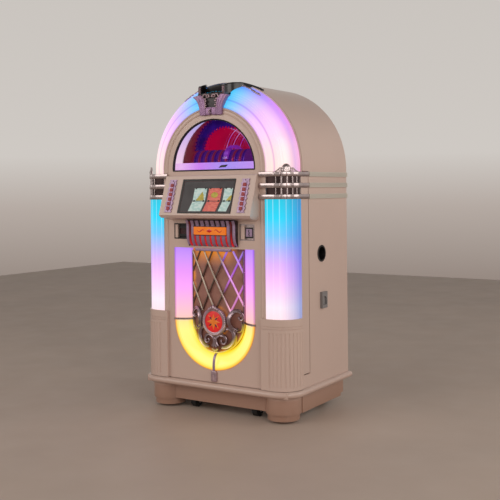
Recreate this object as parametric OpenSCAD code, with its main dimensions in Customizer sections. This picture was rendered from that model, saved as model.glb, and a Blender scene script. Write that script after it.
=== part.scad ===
// Free-standing arched jukebox: panelled cabinet on casters, and a front door
// that carries the lit arch, the corner columns, the selector and the grille.
// Millimetres. X to the right, front faces -Y, floor at z = 0.

/* [Overall] */
// Half of the cabinet width, measured at the flat side panels
half_w = 402; // [380:1:430]
// Height of the arch's springing line above the floor
spring_z = 1118; // [1050:1:1180]
// Depth from the flat front panel to the back of the cabinet
body_d = 545; // [480:1:620]
// Depth position of the joint between the door and the cabinet
split_y = 166; // [150:1:190]
// Clear gap between the door and the cabinet
split_gap = 5; // [3:0.5:8]
// Shift that brings the footprint's centre to the origin
centre_y = 232.2; // [200:0.1:260]

/* [Corner columns] */
// Radius of the lit corner columns
col_r = 87.6; // [70:0.1:100]
// Inner edge of the lit columns and of the lit arch
lit_in = 281; // [260:1:300]
// Underside of the lit columns, where the plinths begin
plinth_top = 459; // [400:1:520]
// Underside of the crown bands
crown_bot = 980; // [940:1:1010]
// Top of the crown bands
crown_top = 1100; // [1060:1:1116]
// Wall of the translucent lenses
lens_t = 4; // [3:0.5:6]

/* [Window] */
// Radius of the arched window
win_r = 228; // [200:1:250]
// Lower edge of the window
win_z = 1110; // [1090:1:1118]

/* [Bubble tube and grille] */
// Outer half width of the U-shaped lit tube
tube_out = 220; // [200:1:240]
// Inner half width of the U-shaped lit tube
tube_in = 142; // [120:1:160]
// Height of the centre of the U
tube_z = 425; // [380:1:470]
// Top of the tube's straight legs
tube_top = 757; // [720:1:765]
// Horizontal half pitch of the lattice
lat_x = 38.2; // [30:0.1:50]
// Vertical half pitch of the lattice
lat_z = 74; // [60:0.5:90]

/* [Selector] */
// Half width of the slanted selector housing
sel_w = 250; // [220:1:265]
// Height of the selector's upper front edge
sel_top = 1087; // [1070:1:1095]
// Height of the selector's lower front edge
sel_bot = 910; // [890:1:930]

/* [Base] */
// Top of the half-round moulding
mould_top = 147; // [140:1:160]
// Radius of the half-round moulding
mould_r = 14; // [10:1:16]
// Radius of the caster wheels
wheel_r = 30; // [25:1:35]
// Trail of the caster wheels behind their swivel axis
trail = 18; // [14:1:24]

/* [Mechanism] */
// Radius of one disc
disc_r = 60; // [50:1:62]
// Number of discs in the rack
disc_n = 24; // [10:1:30]
// Spacing of the discs
disc_pitch = 13; // [10:1:20]

/* [Hidden] */
$fn = 96;
gap_h = split_gap / 2;
door_y = split_y - gap_h;
cab_y = split_y + gap_h;
wall = 18;
skin = 12;
col_x = half_w - col_r;
col_y = 80.8;
mould_z = mould_top - mould_r;
door_z = mould_top + 2;
jog_z = 206;
jog_y = 100;
back_y = body_d - skin;
arch_c = half_w - 145;
arch_cy = 143;
arch_rr = 145;
reveal_r = 257;
arch_back = 110;
arch_front = 114;
lens_edge = 105;
plinth_r = col_r + 8;
band_r = col_r + 6;
sel_run = 60;
sel_h = sel_top - sel_bot;
sel_a = atan(sel_run / sel_h);
sel_len = sqrt(sel_run * sel_run + sel_h * sel_h);
hinge_x = -half_w - 12;
hinge_y = split_y;
floor_bot = 119;
shelf_top = 1088;
back_cut_x = -250;
back_cut_z = 236;
cup_y = 284;
cup_z = 729;
rack_y = 215;
disc_z = 1156;
disc_x0 = -232;
rail_y = 322;
rail_z = 1134;
ring_x = -135;
ring_z = 1205;
ring_r = 185;
ring_in = 126;
car_x = -25;
arm_z = 1180;
cream = [0.86, 0.80, 0.70];
chrome = [0.80, 0.81, 0.83];
lit = [0.80, 0.62, 0.86];
dark = [0.10, 0.10, 0.12];
red = [0.72, 0.10, 0.10];
orange = [0.86, 0.42, 0.12];
ply = [0.62, 0.48, 0.32];
grey = [0.55, 0.55, 0.57];
blue = [0.12, 0.14, 0.34];

// ---------- helpers ----------

// Everything is drawn from the flat front panel and moved to the centre here.
module place() {
    translate([0, -centre_y, 0])
        children();
}

// Front elevation (x, z) extruded between two depths.
module slab(y0, y1) {
    translate([0, y1, 0])
        rotate([90, 0, 0])
            linear_extrude(y1 - y0)
                children();
}

// Side elevation (y, z) extruded between two positions across.
module across(x0, x1) {
    translate([x0, 0, 0])
        rotate([90, 0, 90])
            linear_extrude(x1 - x0)
                children();
}

module box(x0, x1, y0, y1, z0, z1) {
    translate([x0, y0, z0])
        cube([x1 - x0, y1 - y0, z1 - z0]);
}

module zcyl(x, y, z0, z1, r) {
    translate([x, y, z0])
        cylinder(h = z1 - z0, r = r);
}

module xcyl(x0, x1, y, z, r) {
    translate([x0, y, z])
        rotate([0, 90, 0])
            cylinder(h = x1 - x0, r = r);
}

module ycyl(x, y0, y1, z, r) {
    translate([x, y0, z])
        rotate([-90, 0, 0])
            cylinder(h = y1 - y0, r = r);
}

// Section (radius, -depth) swept round the upper half of the arch.
module over_arch() {
    translate([0, 0, spring_z])
        rotate([90, 0, 0])
            rotate_extrude(angle = 180)
                children();
}

// Section (radius, -depth) swept round the lower half of the U.
module under_u() {
    translate([0, 0, tube_z])
        rotate([90, 0, 0])
            rotate([0, 0, 180])
                rotate_extrude(angle = 180)
                    children();
}

// Section (radius, -depth) run straight up on both sides.
module legs(z0, z1) {
    right_leg(z0, z1)
        children();
    mirror([1, 0, 0])
        right_leg(z0, z1)
            children();
}

module right_leg(z0, z1) {
    translate([0, 0, z1])
        mirror([0, 0, 1])
            linear_extrude(z1 - z0)
                mirror([0, 1])
                    children();
}

module arch_outline(r, z0) {
    translate([0, spring_z])
        circle(r = r);
    translate([-r, z0])
        square([2 * r, spring_z - z0]);
}

module u_outline(r, z1) {
    translate([0, tube_z])
        circle(r = r);
    translate([-r, tube_z])
        square([2 * r, z1 - tube_z]);
}

module round_rect(x0, x1, z0, z1, r) {
    translate([x0 + r, z0])
        square([x1 - x0 - 2 * r, z1 - z0]);
    translate([x0, z0 + r])
        square([x1 - x0, z1 - z0 - 2 * r]);
    for (x = [x0 + r, x1 - r])
        for (z = [z0 + r, z1 - r])
            translate([x, z])
                circle(r = r);
}

// Plan of the rounded corner, out to radius r, inner edge xi, back edge yb.
module corner_plan(r, xi, yb) {
    intersection() {
        union() {
            translate([col_x, col_y])
                circle(r = r);
            translate([xi, col_y - r])
                square([col_x - xi, r]);
            translate([col_x, col_y - 1])
                square([r, yb - col_y + 1]);
            translate([xi, col_y - 1])
                square([col_x - xi + 1, yb - col_y + 1]);
        }
        translate([xi, -200])
            square([400, yb + 200]);
    }
}

// ---------- cabinet ----------

module side_panel_right() {
    difference() {
        union() {
            box(half_w - wall, half_w, cab_y, back_y, floor_bot, spring_z);
            box(half_w - wall, half_w, jog_y, cab_y + 1, floor_bot, jog_z - gap_h);
            box(half_w - wall, half_w, arch_front, cab_y + 1, crown_top + gap_h, spring_z);
        }
        box(half_w - wall - 1, half_w - wall + 6, cab_y + 20, back_y + 1, 1067.5, 1088.5);
    }
}

module cabinet_side_left() {
    color(cream)
        place()
            mirror([1, 0, 0])
                side_panel_right();
}

module cabinet_side_right() {
    color(cream)
        place()
            difference() {
                side_panel_right();
                xcyl(half_w - wall - 1, half_w + 1, cup_y, cup_z, 34);
            }
}

module cabinet_arch_top() {
    color(cream)
        place()
            over_arch()
                translate([half_w - wall, -back_y])
                    square([wall, back_y - arch_front]);
}

module cabinet_floor() {
    color(ply)
        place()
            difference() {
                union() {
                    box(-half_w + wall, half_w - wall, 30, back_y, floor_bot, floor_bot + wall);
                    box(-350, 350, 65, 155, 101, floor_bot + 1);
                    box(-350, 350, 430, 510, 101, floor_bot + 1);
                }
                for (m = [-1, 1])
                    zcyl(m * col_x, col_y, 90, floor_bot - 0, 81);
            }
}

module back_panel() {
    color(cream)
        place()
            difference() {
                slab(back_y, body_d)
                    arch_outline(half_w, floor_bot);
                for (i = [0 : 6])
                    slab(back_y - 1, body_d + 1)
                        translate([-90, 600 + 24 * i])
                            round_rect(0, 180, 0, 9, 4);
                for (i = [0 : 4])
                    slab(back_y - 1, body_d + 1)
                        translate([-90, 1230 + 24 * i])
                            round_rect(0, 180, 0, 9, 4);
                box(back_cut_x - 52, back_cut_x + 52, back_y - 1, body_d + 1,
                    back_cut_z - 36, back_cut_z + 36);
            }
}

module moulding_section() {
    intersection() {
        circle(r = mould_r);
        translate([0, -mould_r])
            square([mould_r, 2 * mould_r]);
    }
    translate([-7.9, -mould_r])
        square([8.4, 2 * mould_r]);
}

module base_moulding() {
    color(cream)
        place()
            union() {
                for (m = [0, 1])
                    mirror([m, 0, 0]) {
                        translate([col_x, col_y, mould_z])
                            rotate([0, 0, -90])
                                rotate_extrude(angle = 90)
                                    translate([plinth_r, 0])
                                        moulding_section();
                        translate([col_x + plinth_r, col_y, mould_z])
                            rotate([-90, 0, 0])
                                linear_extrude(body_d - col_y)
                                    moulding_section();
                    }
                translate([-col_x, col_y - plinth_r, mould_z])
                    rotate([90, 0, 90])
                        linear_extrude(2 * col_x)
                            mirror([1, 0])
                                moulding_section();
                box(-half_w + wall, half_w - wall, -8, 29.5, floor_bot, mould_top);
            }
}

module base_apron() {
    color(cream)
        place()
            difference() {
                union() {
                    for (m = [-1, 1]) {
                        zcyl(m * col_x, col_y, 40, floor_bot, 80);
                        zcyl(m * col_x, col_y, 12, 40.5, 72);
                    }
                    box(-250, 250, 34, 50, 44, floor_bot);
                    box(370, 388, 120, 491, 36, floor_bot);
                    box(-388, -370, 120, 491, 36, floor_bot);
                    box(370, 388, 490, 516, 50, floor_bot);
                    box(-388, -370, 490, 516, 50, floor_bot);
                }
                box(-252, 252, 64, 156, 100, floor_bot + 1);
            }
}

module trims_right() {
    for (z = [1089.5, 1040.7, 990.3])
        difference() {
            box(half_w, half_w + 6, cab_y, body_d, z - 10.3, z + 10.3);
            for (k = [-1, 0, 1])
                box(half_w + 4, half_w + 7, cab_y - 1, body_d + 1, z + 5 * k - 1, z + 5 * k + 1);
        }
}

module side_trims_right() {
    color(grey)
        place()
            trims_right();
}

module side_trims_left() {
    color(grey)
        place()
            mirror([1, 0, 0])
                trims_right();
}

module lock_cup() {
    color(dark)
        place()
            difference() {
                union() {
                    xcyl(half_w, half_w + 2.5, cup_y, cup_z, 38);
                    xcyl(half_w - 36, half_w + 1, cup_y, cup_z, 33.7);
                }
                xcyl(half_w - 31, half_w + 5, cup_y, cup_z, 31);
                xcyl(half_w - 40, half_w, cup_y, cup_z, 11.05);
            }
}

module lock_barrel() {
    color(chrome)
        place()
            difference() {
                union() {
                    xcyl(half_w - 52, half_w - 22, cup_y, cup_z, 11);
                    xcyl(half_w - 30.7, half_w - 22, cup_y, cup_z, 13.5);
                    box(half_w - 52, half_w - 48, cup_y - 8, cup_y + 8, cup_z - 8, cup_z + 34);
                }
                box(half_w - 34, half_w - 21, cup_y - 1.5, cup_y + 1.5, cup_z - 6, cup_z + 6);
            }
}

module side_outlet() {
    color(grey)
        place()
            difference() {
                box(half_w, half_w + 12, 267, 317, 480, 554);
                across(half_w + 4, half_w + 13) {
                    translate([292, 517])
                        circle(r = 17);
                    translate([275, 495])
                        square([34, 22]);
                }
            }
}

module hinge_set(z0) {
    for (z = [z0, z0 + 42])
        zcyl(hinge_x, hinge_y, z, z + 18, 6);
    zcyl(hinge_x, hinge_y, z0 + 1, z0 + 59, 3);
    for (z = [z0, z0 + 42])
        box(hinge_x + 2, -half_w, hinge_y, hinge_y + 6, z, z + 18);
    box(-half_w - 3, -half_w, hinge_y + 2.5, hinge_y + 42, z0, z0 + 18);
    box(-half_w - 3, -half_w, hinge_y + 2.5, hinge_y + 42, z0 + 42, z0 + 60);
    box(-half_w - 3, -half_w, hinge_y + 12, hinge_y + 42, z0, z0 + 60);
}

module door_hinges() {
    color(chrome)
        place() {
            hinge_set(300);
            hinge_set(860);
        }
}

module caster_plate(x, y) {
    translate([x, y, 0]) {
        box(-40, 40, -32, 32, 98, 101);
        zcyl(0, 0, 84, 99, 6);
        zcyl(0, 0, 82, 85, 9);
    }
}

module caster_plates() {
    color(grey)
        place() {
            caster_plate(-170, 112);
            caster_plate(170, 112);
            caster_plate(-300, 470);
            caster_plate(300, 470);
        }
}

module caster_fork(x, y) {
    color(chrome)
        place()
            translate([x, y, 0])
                difference() {
                    union() {
                        zcyl(0, 0, 86, 97.6, 24);
                        for (m = [-1, 1])
                            across(m * 20 - 1.5, m * 20 + 1.5) {
                                translate([-trail, wheel_r])
                                    circle(r = 11);
                                polygon([[-trail - 11, wheel_r], [-trail + 11, wheel_r],
                                    [14, 88], [-16, 88]]);
                            }
                        xcyl(-24, 24, -trail, wheel_r, 4);
                    }
                    zcyl(0, 0, 80, 99, 6.05);
                    zcyl(0, 0, 70, 86, 12);
                }
}

module caster_wheel(x, y) {
    color(dark)
        place()
            translate([x, y, 0])
                difference() {
                    union() {
                        xcyl(-13, 13, -trail, wheel_r, wheel_r);
                        xcyl(-17, 17, -trail, wheel_r, 9);
                    }
                    xcyl(-20, 20, -trail, wheel_r, 4.05);
                }
}

module caster_fork_fl() {
    caster_fork(-170, 112);
}

module caster_fork_fr() {
    caster_fork(170, 112);
}

module caster_fork_rl() {
    caster_fork(-300, 470);
}

module caster_fork_rr() {
    caster_fork(300, 470);
}

module caster_wheel_fl() {
    caster_wheel(-170, 112);
}

module caster_wheel_fr() {
    caster_wheel(170, 112);
}

module caster_wheel_rl() {
    caster_wheel(-300, 470);
}

module caster_wheel_rr() {
    caster_wheel(300, 470);
}

// ---------- inside the cabinet ----------

module mech_shelf() {
    color(ply)
        place()
            box(-half_w + wall - 5.5, half_w - wall + 5.5, cab_y + 20.5, back_y,
                1068, shelf_top);
}

module mech_backdrop() {
    color(red)
        place()
            slab(440, 446)
                intersection() {
                    arch_outline(378, shelf_top);
                    translate([-400, shelf_top])
                        square([800, 500]);
                }
}

module comb_ring() {
    color(blue)
        place()
            intersection() {
                slab(298, 304)
                    union() {
                        translate([ring_x, ring_z])
                            difference() {
                                union() {
                                    circle(r = ring_r - 6);
                                    for (a = [60 : 6 : 210])
                                        rotate([0, 0, a])
                                            polygon([[ring_r - 10, -8], [ring_r + 4, 0],
                                                [ring_r - 10, 8]]);
                                }
                                difference() {
                                    circle(r = ring_in + 6);
                                    for (a = [60 : 8 : 210])
                                        rotate([0, 0, a])
                                            polygon([[ring_in + 10, -7], [ring_in - 4, 0],
                                                [ring_in + 10, 7]]);
                                }
                            }
                        translate([-330, shelf_top])
                            square([70, 26]);
                    }
                slab(290, 310)
                    polygon([[-380, shelf_top], [-262, shelf_top], [-262, 1120],
                        [ring_x, ring_z], [ring_x + 90, 1420], [-380, 1420]]);
            }
}

module disc_rack() {
    x0 = disc_x0 - 14;
    x1 = disc_x0 + disc_n * disc_pitch + 4;
    color(dark)
        place()
            difference() {
                union() {
                    box(x0, x1, rack_y - 44, rack_y + 44, shelf_top, shelf_top + 8);
                    box(x0, x1, rack_y - 44, rack_y - 30, shelf_top, disc_z - 30);
                    box(x0, x1, rack_y + 30, rack_y + 44, shelf_top, disc_z - 30);
                    for (x = [-262, 272]) {
                        box(x, x + 12, rail_y - 12, rail_y + 16, shelf_top, rail_z + 14);
                        box(x, x + 12, rack_y - 20, rail_y + 16, shelf_top, shelf_top + 8);
                    }
                    box(272, 284, rack_y - 20, rack_y + 20, shelf_top, arm_z + 80);
                    box(-262, 284, rack_y - 20, rack_y + 20, shelf_top, shelf_top + 8);
                    xcyl(-262, 284, rail_y, rail_z, 5);
                }
                for (i = [0 : disc_n - 1])
                    xcyl(disc_x0 + i * disc_pitch - 1.6, disc_x0 + i * disc_pitch + 1.6,
                        rack_y, disc_z, disc_r + 0.3);
                xcyl(265, 290, rack_y, arm_z + 60, 4.05);
            }
}

module discs() {
    color(chrome)
        place()
            for (i = [0 : disc_n - 1])
                difference() {
                    xcyl(disc_x0 + i * disc_pitch - 0.8, disc_x0 + i * disc_pitch + 0.8,
                        rack_y, disc_z, disc_r);
                    xcyl(disc_x0 + i * disc_pitch - 2, disc_x0 + i * disc_pitch + 2,
                        rack_y, disc_z, 7.5);
                }
}

module spindle() {
    color(chrome)
        place() {
            xcyl(250, 300, rack_y, arm_z + 60, 4);
            xcyl(250, 262, rack_y, arm_z + 60, 26);
            xcyl(290, 300, rack_y, arm_z + 60, 12);
        }
}

module carriage() {
    color(grey)
        place()
            difference() {
                union() {
                    box(car_x - 30, car_x + 30, rail_y - 14, rail_y + 14,
                        rail_z - 14, rail_z + 14);
                    box(car_x - 30, car_x - 20, rail_y - 14, rail_y + 14, rail_z, arm_z + 14);
                    box(car_x + 20, car_x + 30, rail_y - 14, rail_y + 14, rail_z, arm_z + 14);
                }
                xcyl(car_x - 40, car_x + 40, rail_y, rail_z, 5.05);
                xcyl(car_x - 40, car_x + 40, rail_y, arm_z, 4.05);
            }
}

module gripper_arm() {
    color(chrome)
        place()
            difference() {
                union() {
                    xcyl(car_x - 34, car_x + 34, rail_y, arm_z, 4);
                    xcyl(car_x - 19.5, car_x + 19.5, rail_y, arm_z, 11);
                    box(car_x - 11, car_x + 11, rack_y + 72, rail_y - 4, arm_z - 6, arm_z + 6);
                    across(car_x - 11, car_x + 11)
                        difference() {
                            translate([rack_y, disc_z])
                                circle(r = 80);
                            translate([rack_y, disc_z])
                                circle(r = 68);
                            translate([rack_y - 120, disc_z - 120])
                                square([240, 132]);
                        }
                }
                xcyl(car_x - 50, car_x - 34.5, rail_y, arm_z, 20);
            }
}

module amplifier() {
    color(dark)
        place() {
            box(-360, -120, 330, 470, floor_bot + wall, 230);
            for (i = [0 : 10])
                box(-350 + i * 22, -346 + i * 22, 340, 460, 229, 256);
        }
}

module baffle_board() {
    color(ply)
        place()
            difference() {
                box(-half_w + wall, half_w - wall, 200, 218, floor_bot + wall, 1068);
                ycyl(0, 190, 230, 500, 124);
                for (m = [-1, 1])
                    ycyl(m * 70, 190, 230, 690, 40);
            }
}

module woofer() {
    color(dark)
        place()
            difference() {
                union() {
                    ycyl(0, 192, 200, 500, 140);
                    ycyl(0, 199, 222, 500, 122);
                    translate([0, 222, 500])
                        rotate([-90, 0, 0])
                            cylinder(h = 60, r1 = 122, r2 = 55);
                    ycyl(0, 281, 312, 500, 62);
                }
                translate([0, 191, 500])
                    rotate([-90, 0, 0])
                        cylinder(h = 66, r1 = 112, r2 = 34);
            }
}

module mains_inlet() {
    color(dark)
        place()
            difference() {
                union() {
                    box(back_cut_x - 51.5, back_cut_x + 51.5, 534, 538,
                        back_cut_z - 35.5, back_cut_z + 35.5);
                    box(back_cut_x - 38, back_cut_x - 2, 500, 535,
                        back_cut_z - 18, back_cut_z + 18);
                    box(back_cut_x + 12, back_cut_x + 42, 508, 535,
                        back_cut_z - 20, back_cut_z + 20);
                }
                box(back_cut_x - 32, back_cut_x - 8, 512, 539, back_cut_z - 9, back_cut_z + 9);
                box(back_cut_x + 17, back_cut_x + 37, 514, 539,
                    back_cut_z - 15, back_cut_z + 15);
                xcyl(back_cut_x + 14.5, back_cut_x + 39.5, 530, back_cut_z, 2.05);
            }
}

module power_switch() {
    color(red)
        place()
            translate([back_cut_x + 27, 530, back_cut_z])
                rotate([7, 0, 0]) {
                    difference() {
                        across(-9.5, 9.5) {
                            circle(r = 6);
                            polygon([[0, -11.5], [9, -11.5], [6.2, 0], [9, 11.5], [0, 11.5]]);
                        }
                        translate([0, 0, 0])
                            xcyl(-0.01, 0, 0, 0, 0.01);
                    }
                    xcyl(-12, 12, 0, 0, 2);
                }
}

// ---------- door ----------

module door_panel() {
    color(cream)
        place()
            slab(0, skin)
                difference() {
                    translate([-lit_in, door_z])
                        square([2 * lit_in, spring_z - door_z]);
                    translate([-win_r, win_z])
                        square([2 * win_r, 20]);
                    intersection() {
                        u_outline(tube_out - 8, tube_top + 0.5);
                        translate([-300, 150])
                            square([600, tube_top - 149.5]);
                    }
                    for (m = [-1, 1])
                        translate([m * 183 - 39.5, 797])
                            square([79, 73]);
                }
}

module door_arch() {
    color(cream)
        place()
            slab(0, skin)
                difference() {
                    translate([0, spring_z])
                        circle(r = lit_in);
                    translate([0, spring_z])
                        circle(r = win_r);
                    translate([-300, spring_z - 300])
                        square([600, 300]);
                }
}

module rim_leg_section() {
    translate([lit_in - skin, -door_y])
        square([skin, door_y - skin]);
    translate([lit_in - skin, -door_y])
        square([half_w - lit_in + skin, skin]);
    translate([half_w - skin, -door_y])
        square([skin, door_y - jog_y]);
}

module rim_arch_section() {
    translate([lit_in - skin, -arch_back])
        square([skin, arch_back - skin]);
    translate([lit_in - skin, -arch_back])
        square([half_w - lit_in + skin, arch_back - lens_edge]);
}

module reveal_section() {
    translate([reveal_r, -arch_back])
        square([lit_in - reveal_r - 1, arch_back - skin]);
}

module door_rim() {
    color(cream)
        place()
            difference() {
                union() {
                    over_arch()
                        rim_arch_section();
                    over_arch()
                        reveal_section();
                    legs(win_z - 16, spring_z + 0.01)
                        reveal_section();
                    legs(crown_top, spring_z + 0.01)
                        rim_arch_section();
                    legs(door_z, crown_top + 0.01)
                        rim_leg_section();
                    for (m = [0, 1])
                        mirror([m, 0, 0])
                            box(lit_in - skin, half_w, arch_back - 1, door_y,
                                crown_top - 6, crown_top);
                    for (z = [318.5, 878.5]) {
                        zcyl(hinge_x, hinge_y, z, z + 23, 6);
                        box(hinge_x, -half_w + 1, hinge_y - 6, door_y, z, z + 23);
                    }
                }
                for (m = [0, 1])
                    mirror([m, 0, 0])
                        box(330, half_w + 1, 90, 170, door_z - 1, jog_z + gap_h);
                for (z = [318.5, 878.5])
                    zcyl(hinge_x, hinge_y, z - 1, z + 24, 3.05);
            }
}

module window_glass() {
    color([0.8, 0.9, 0.95, 0.3])
        place()
            slab(skin, skin + 4)
                intersection() {
                    arch_outline(win_r + 14, win_z - 20);
                    translate([-300, win_z - 14])
                        square([600, 400]);
                }
}

module lens_section(r) {
    intersection() {
        translate([arch_c, -arch_cy])
            circle(r = r);
        translate([lit_in + 0.3, -lens_edge])
            square([200, 200]);
    }
}

module lens_ribs(r) {
    for (a = [48, 52.5, 57, 77, 80])
        translate([arch_c + (arch_rr - 0.6) * cos(a), -arch_cy + (arch_rr - 0.6) * sin(a)])
            circle(r = r);
    for (a = [19, 22, 25])
        translate([arch_c + (arch_rr - 0.6) * cos(a), -arch_cy + (arch_rr - 0.6) * sin(a)])
            circle(r = r - 0.6);
}

module lens_profile() {
    intersection() {
        difference() {
            union() {
                translate([arch_c, -arch_cy])
                    circle(r = arch_rr);
                lens_ribs(2.6);
            }
            translate([arch_c, -arch_cy])
                circle(r = arch_rr - lens_t);
        }
        translate([lit_in + 0.3, -lens_edge])
            square([200, 200]);
    }
}

module arch_lens() {
    color(lit)
        place() {
            over_arch()
                lens_profile();
            legs(crown_top + 0.3, spring_z + 0.01)
                lens_profile();
        }
}

module column_lens() {
    translate([0, 0, plinth_top])
        linear_extrude(crown_bot - plinth_top)
            difference() {
                union() {
                    corner_plan(col_r, lit_in + 0.3, jog_y - 0.3);
                    for (a = [5, 24, 43, 62, 81])
                        translate([col_x + (col_r - 1) * sin(a), col_y - (col_r - 1) * cos(a)])
                            circle(r = 3);
                }
                corner_plan(col_r - lens_t, lit_in - 1, jog_y + 1);
            }
}

module column_lens_right() {
    color(lit)
        place()
            column_lens();
}

module column_lens_left() {
    color(lit)
        place()
            mirror([1, 0, 0])
                column_lens();
}

module band_plan(r) {
    difference() {
        corner_plan(r, 254, door_y);
        corner_plan(col_r - 2, lit_in + 0.3, door_y + 1);
        translate([240, 0])
            square([lit_in - 240 + 0.3, 200]);
        translate([300, jog_y - 0.2])
            square([half_w - 300, 100]);
    }
}

module crown() {
    for (z = [crown_bot, crown_bot + 49.5, crown_top - 21])
        translate([0, 0, z])
            linear_extrude(21)
                band_plan(band_r);
    translate([0, 0, crown_bot])
        linear_extrude(crown_top - crown_bot)
            difference() {
                corner_plan(col_r + 0.5, 270, jog_y - 0.5);
                corner_plan(col_r - 3, lit_in + 0.3, jog_y + 1);
                translate([240, 0])
                    square([lit_in - 240 + 0.3, 200]);
            }
    for (a = [-2, 22, 45, 68, 90])
        zcyl(col_x + (col_r + 1) * sin(a), col_y - (col_r + 1) * cos(a), crown_bot, crown_top, 4);
    translate([0, 0, crown_top - 3])
        linear_extrude(3)
            difference() {
                corner_plan(band_r, lit_in + 0.3, jog_y - 0.5);
                corner_plan(col_r - 30, lit_in + 0.3, jog_y + 1);
            }
    translate([col_x, col_y, 0])
        rotate([0, 0, -45])
            translate([band_r - 9, 0, crown_top - 1])
                rotate([0, 90, 0]) {
                    intersection() {
                        translate([-13, 0, 0])
                            cylinder(h = 7, r = 24);
                        translate([-60, -30, -1])
                            cube([60, 60, 10]);
                    }
                    for (m = [-1, 1])
                        intersection() {
                            translate([-6, m * 28, 0])
                                cylinder(h = 6, r = 12);
                            translate([-60, -60, -1])
                                cube([60, 120, 10]);
                        }
                }
}

module crown_right() {
    color(chrome)
        place()
            crown();
}

module crown_left() {
    color(chrome)
        place()
            mirror([1, 0, 0])
                crown();
}

module plinth() {
    difference() {
        translate([0, 0, door_z])
            linear_extrude(plinth_top - door_z)
                difference() {
                    corner_plan(plinth_r, 258, jog_y - 3);
                    corner_plan(col_r - 4, lit_in + 0.3, jog_y + 1);
                    translate([240, 0])
                        square([lit_in - 240 + 0.3, 200]);
                }
        for (a = [-8 : 11 : 91])
            zcyl(col_x + (plinth_r + 2.5) * sin(a), col_y - (plinth_r + 2.5) * cos(a),
                door_z + 14, 400, 5);
        for (z = [413, 424])
            translate([0, 0, z])
                linear_extrude(4)
                    difference() {
                        corner_plan(plinth_r + 5, 250, jog_y);
                        corner_plan(plinth_r - 2.5, 240, jog_y + 1);
                    }
    }
}

module plinth_right() {
    color(cream)
        place()
            plinth();
}

module plinth_left() {
    color(cream)
        place()
            mirror([1, 0, 0])
                plinth();
}

module on_slope() {
    translate([0, -20, sel_top])
        rotate([-sel_a, 0, 0])
            children();
}

module selector_housing() {
    color(chrome)
        place()
            difference() {
                intersection() {
                    across(-sel_w, sel_w)
                        polygon([[0, 1090], [-16, 1090], [-20, sel_top],
                            [-20 - sel_run, sel_bot], [-70, 898], [0, 884]]);
                    slab(-120, 0)
                        round_rect(-sel_w, sel_w, 880, 1130, 34);
                }
                difference() {
                    across(-sel_w + 7, sel_w - 7)
                        polygon([[1, 1083], [-12, 1083], [-72, 912], [-62, 905], [1, 892]]);
                    for (m = [-1, 1])
                        box(m * sel_w - 16, m * sel_w + 16, -90, 1, 880, 925);
                }
                on_slope()
                    box(-146, 146, -5, 12, -177, -18);
            }
}

module screen() {
    color(dark)
        place()
            on_slope()
                box(-145.7, 145.7, -1, 5, -176.7, -18.3);
}

module strip_outline() {
    difference() {
        translate([-20.5, -174])
            square([41, 156]);
        for (i = [0 : 6])
            for (m = [-1, 1])
                translate([m * 24, -165 + i * 23])
                    circle(r = 8);
    }
}

module selector_strips() {
    color(chrome)
        place()
            on_slope()
                for (m = [-1, 1])
                    translate([m * 200, 0, 0]) {
                        slab(-5, 0)
                            strip_outline();
                        for (i = [0 : 5])
                            box(-9, 9, -8, -4, -162 + i * 23.5, -146 + i * 23.5);
                    }
}

module bonnet_side(r) {
    intersection() {
        translate([192.5, 860])
            circle(r = r);
        translate([-60, 770])
            square([60, 113]);
    }
}

module coin_bonnet() {
    color(chrome)
        place()
            difference() {
                union() {
                    across(-134.5, 134.5)
                        bonnet_side(212.5);
                    for (i = [-9 : 9])
                        across(i * 14.3 - 2, i * 14.3 + 2)
                            bonnet_side(215.5);
                }
                across(-129, 129)
                    intersection() {
                        translate([192.5, 860])
                            circle(r = 208);
                        translate([-60, 775])
                            square([61, 103]);
                    }
            }
}

module sign_plate() {
    color(orange)
        place()
            slab(-28, -23.3)
                round_rect(-88.3, 88.3, 820, 857, 4);
}

module note_acceptor() {
    color(dark)
        place()
            difference() {
                box(-222.2, -143.8, 0, 55, 797.3, 869.7);
                box(-217, -149, -1, 14, 803, 864);
                box(-214, -152, 10, 60, 826, 832);
            }
}

module coin_entry() {
    color(chrome)
        place()
            difference() {
                box(143.8, 222.2, 0, 55, 797.3, 869.7);
                difference() {
                    box(149, 217, -1, 14, 803, 864);
                    box(155, 211, 8, 20, 806, 861);
                }
                box(180.4, 185.6, 0, 60, 818, 848);
            }
}

module tube_section() {
    intersection() {
        difference() {
            translate([229, -105.6])
                circle(r = 106);
            translate([229, -105.6])
                circle(r = 102);
        }
        translate([tube_in, -52])
            square([tube_out - 8.3 - tube_in, 60]);
    }
    translate([tube_in, -60])
        square([4, 14]);
    translate([tube_out - 12, -4])
        square([3.7, 7]);
    translate([tube_out - 12, 0])
        square([12, 3]);
}

module bubble_tube() {
    color(lit)
        place() {
            under_u()
                tube_section();
            legs(tube_z - 0.01, tube_top)
                tube_section();
        }
}

module tube_band(m) {
    intersection() {
        legs(tube_z - 4.5, tube_z + 4.5) {
            translate([tube_out - 18, 0])
                square([5.7, 6]);
            translate([tube_out - 18, 3.3])
                square([21, 2.7]);
            translate([tube_out + 0.3, 0.02])
                square([2.7, 5]);
            intersection() {
                difference() {
                    translate([229, -105.6])
                        circle(r = 110);
                    translate([229, -105.6])
                        circle(r = 106.3);
                }
                translate([tube_in + 1, -44])
                    square([tube_out - 12.3 - tube_in - 1, 60]);
            }
        }
        box(m > 0 ? 0 : -300, m > 0 ? 300 : 0, -50, 100, 300, 500);
    }
}

module tube_bands() {
    color(chrome)
        place() {
            tube_band(1);
            tube_band(-1);
        }
}

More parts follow.
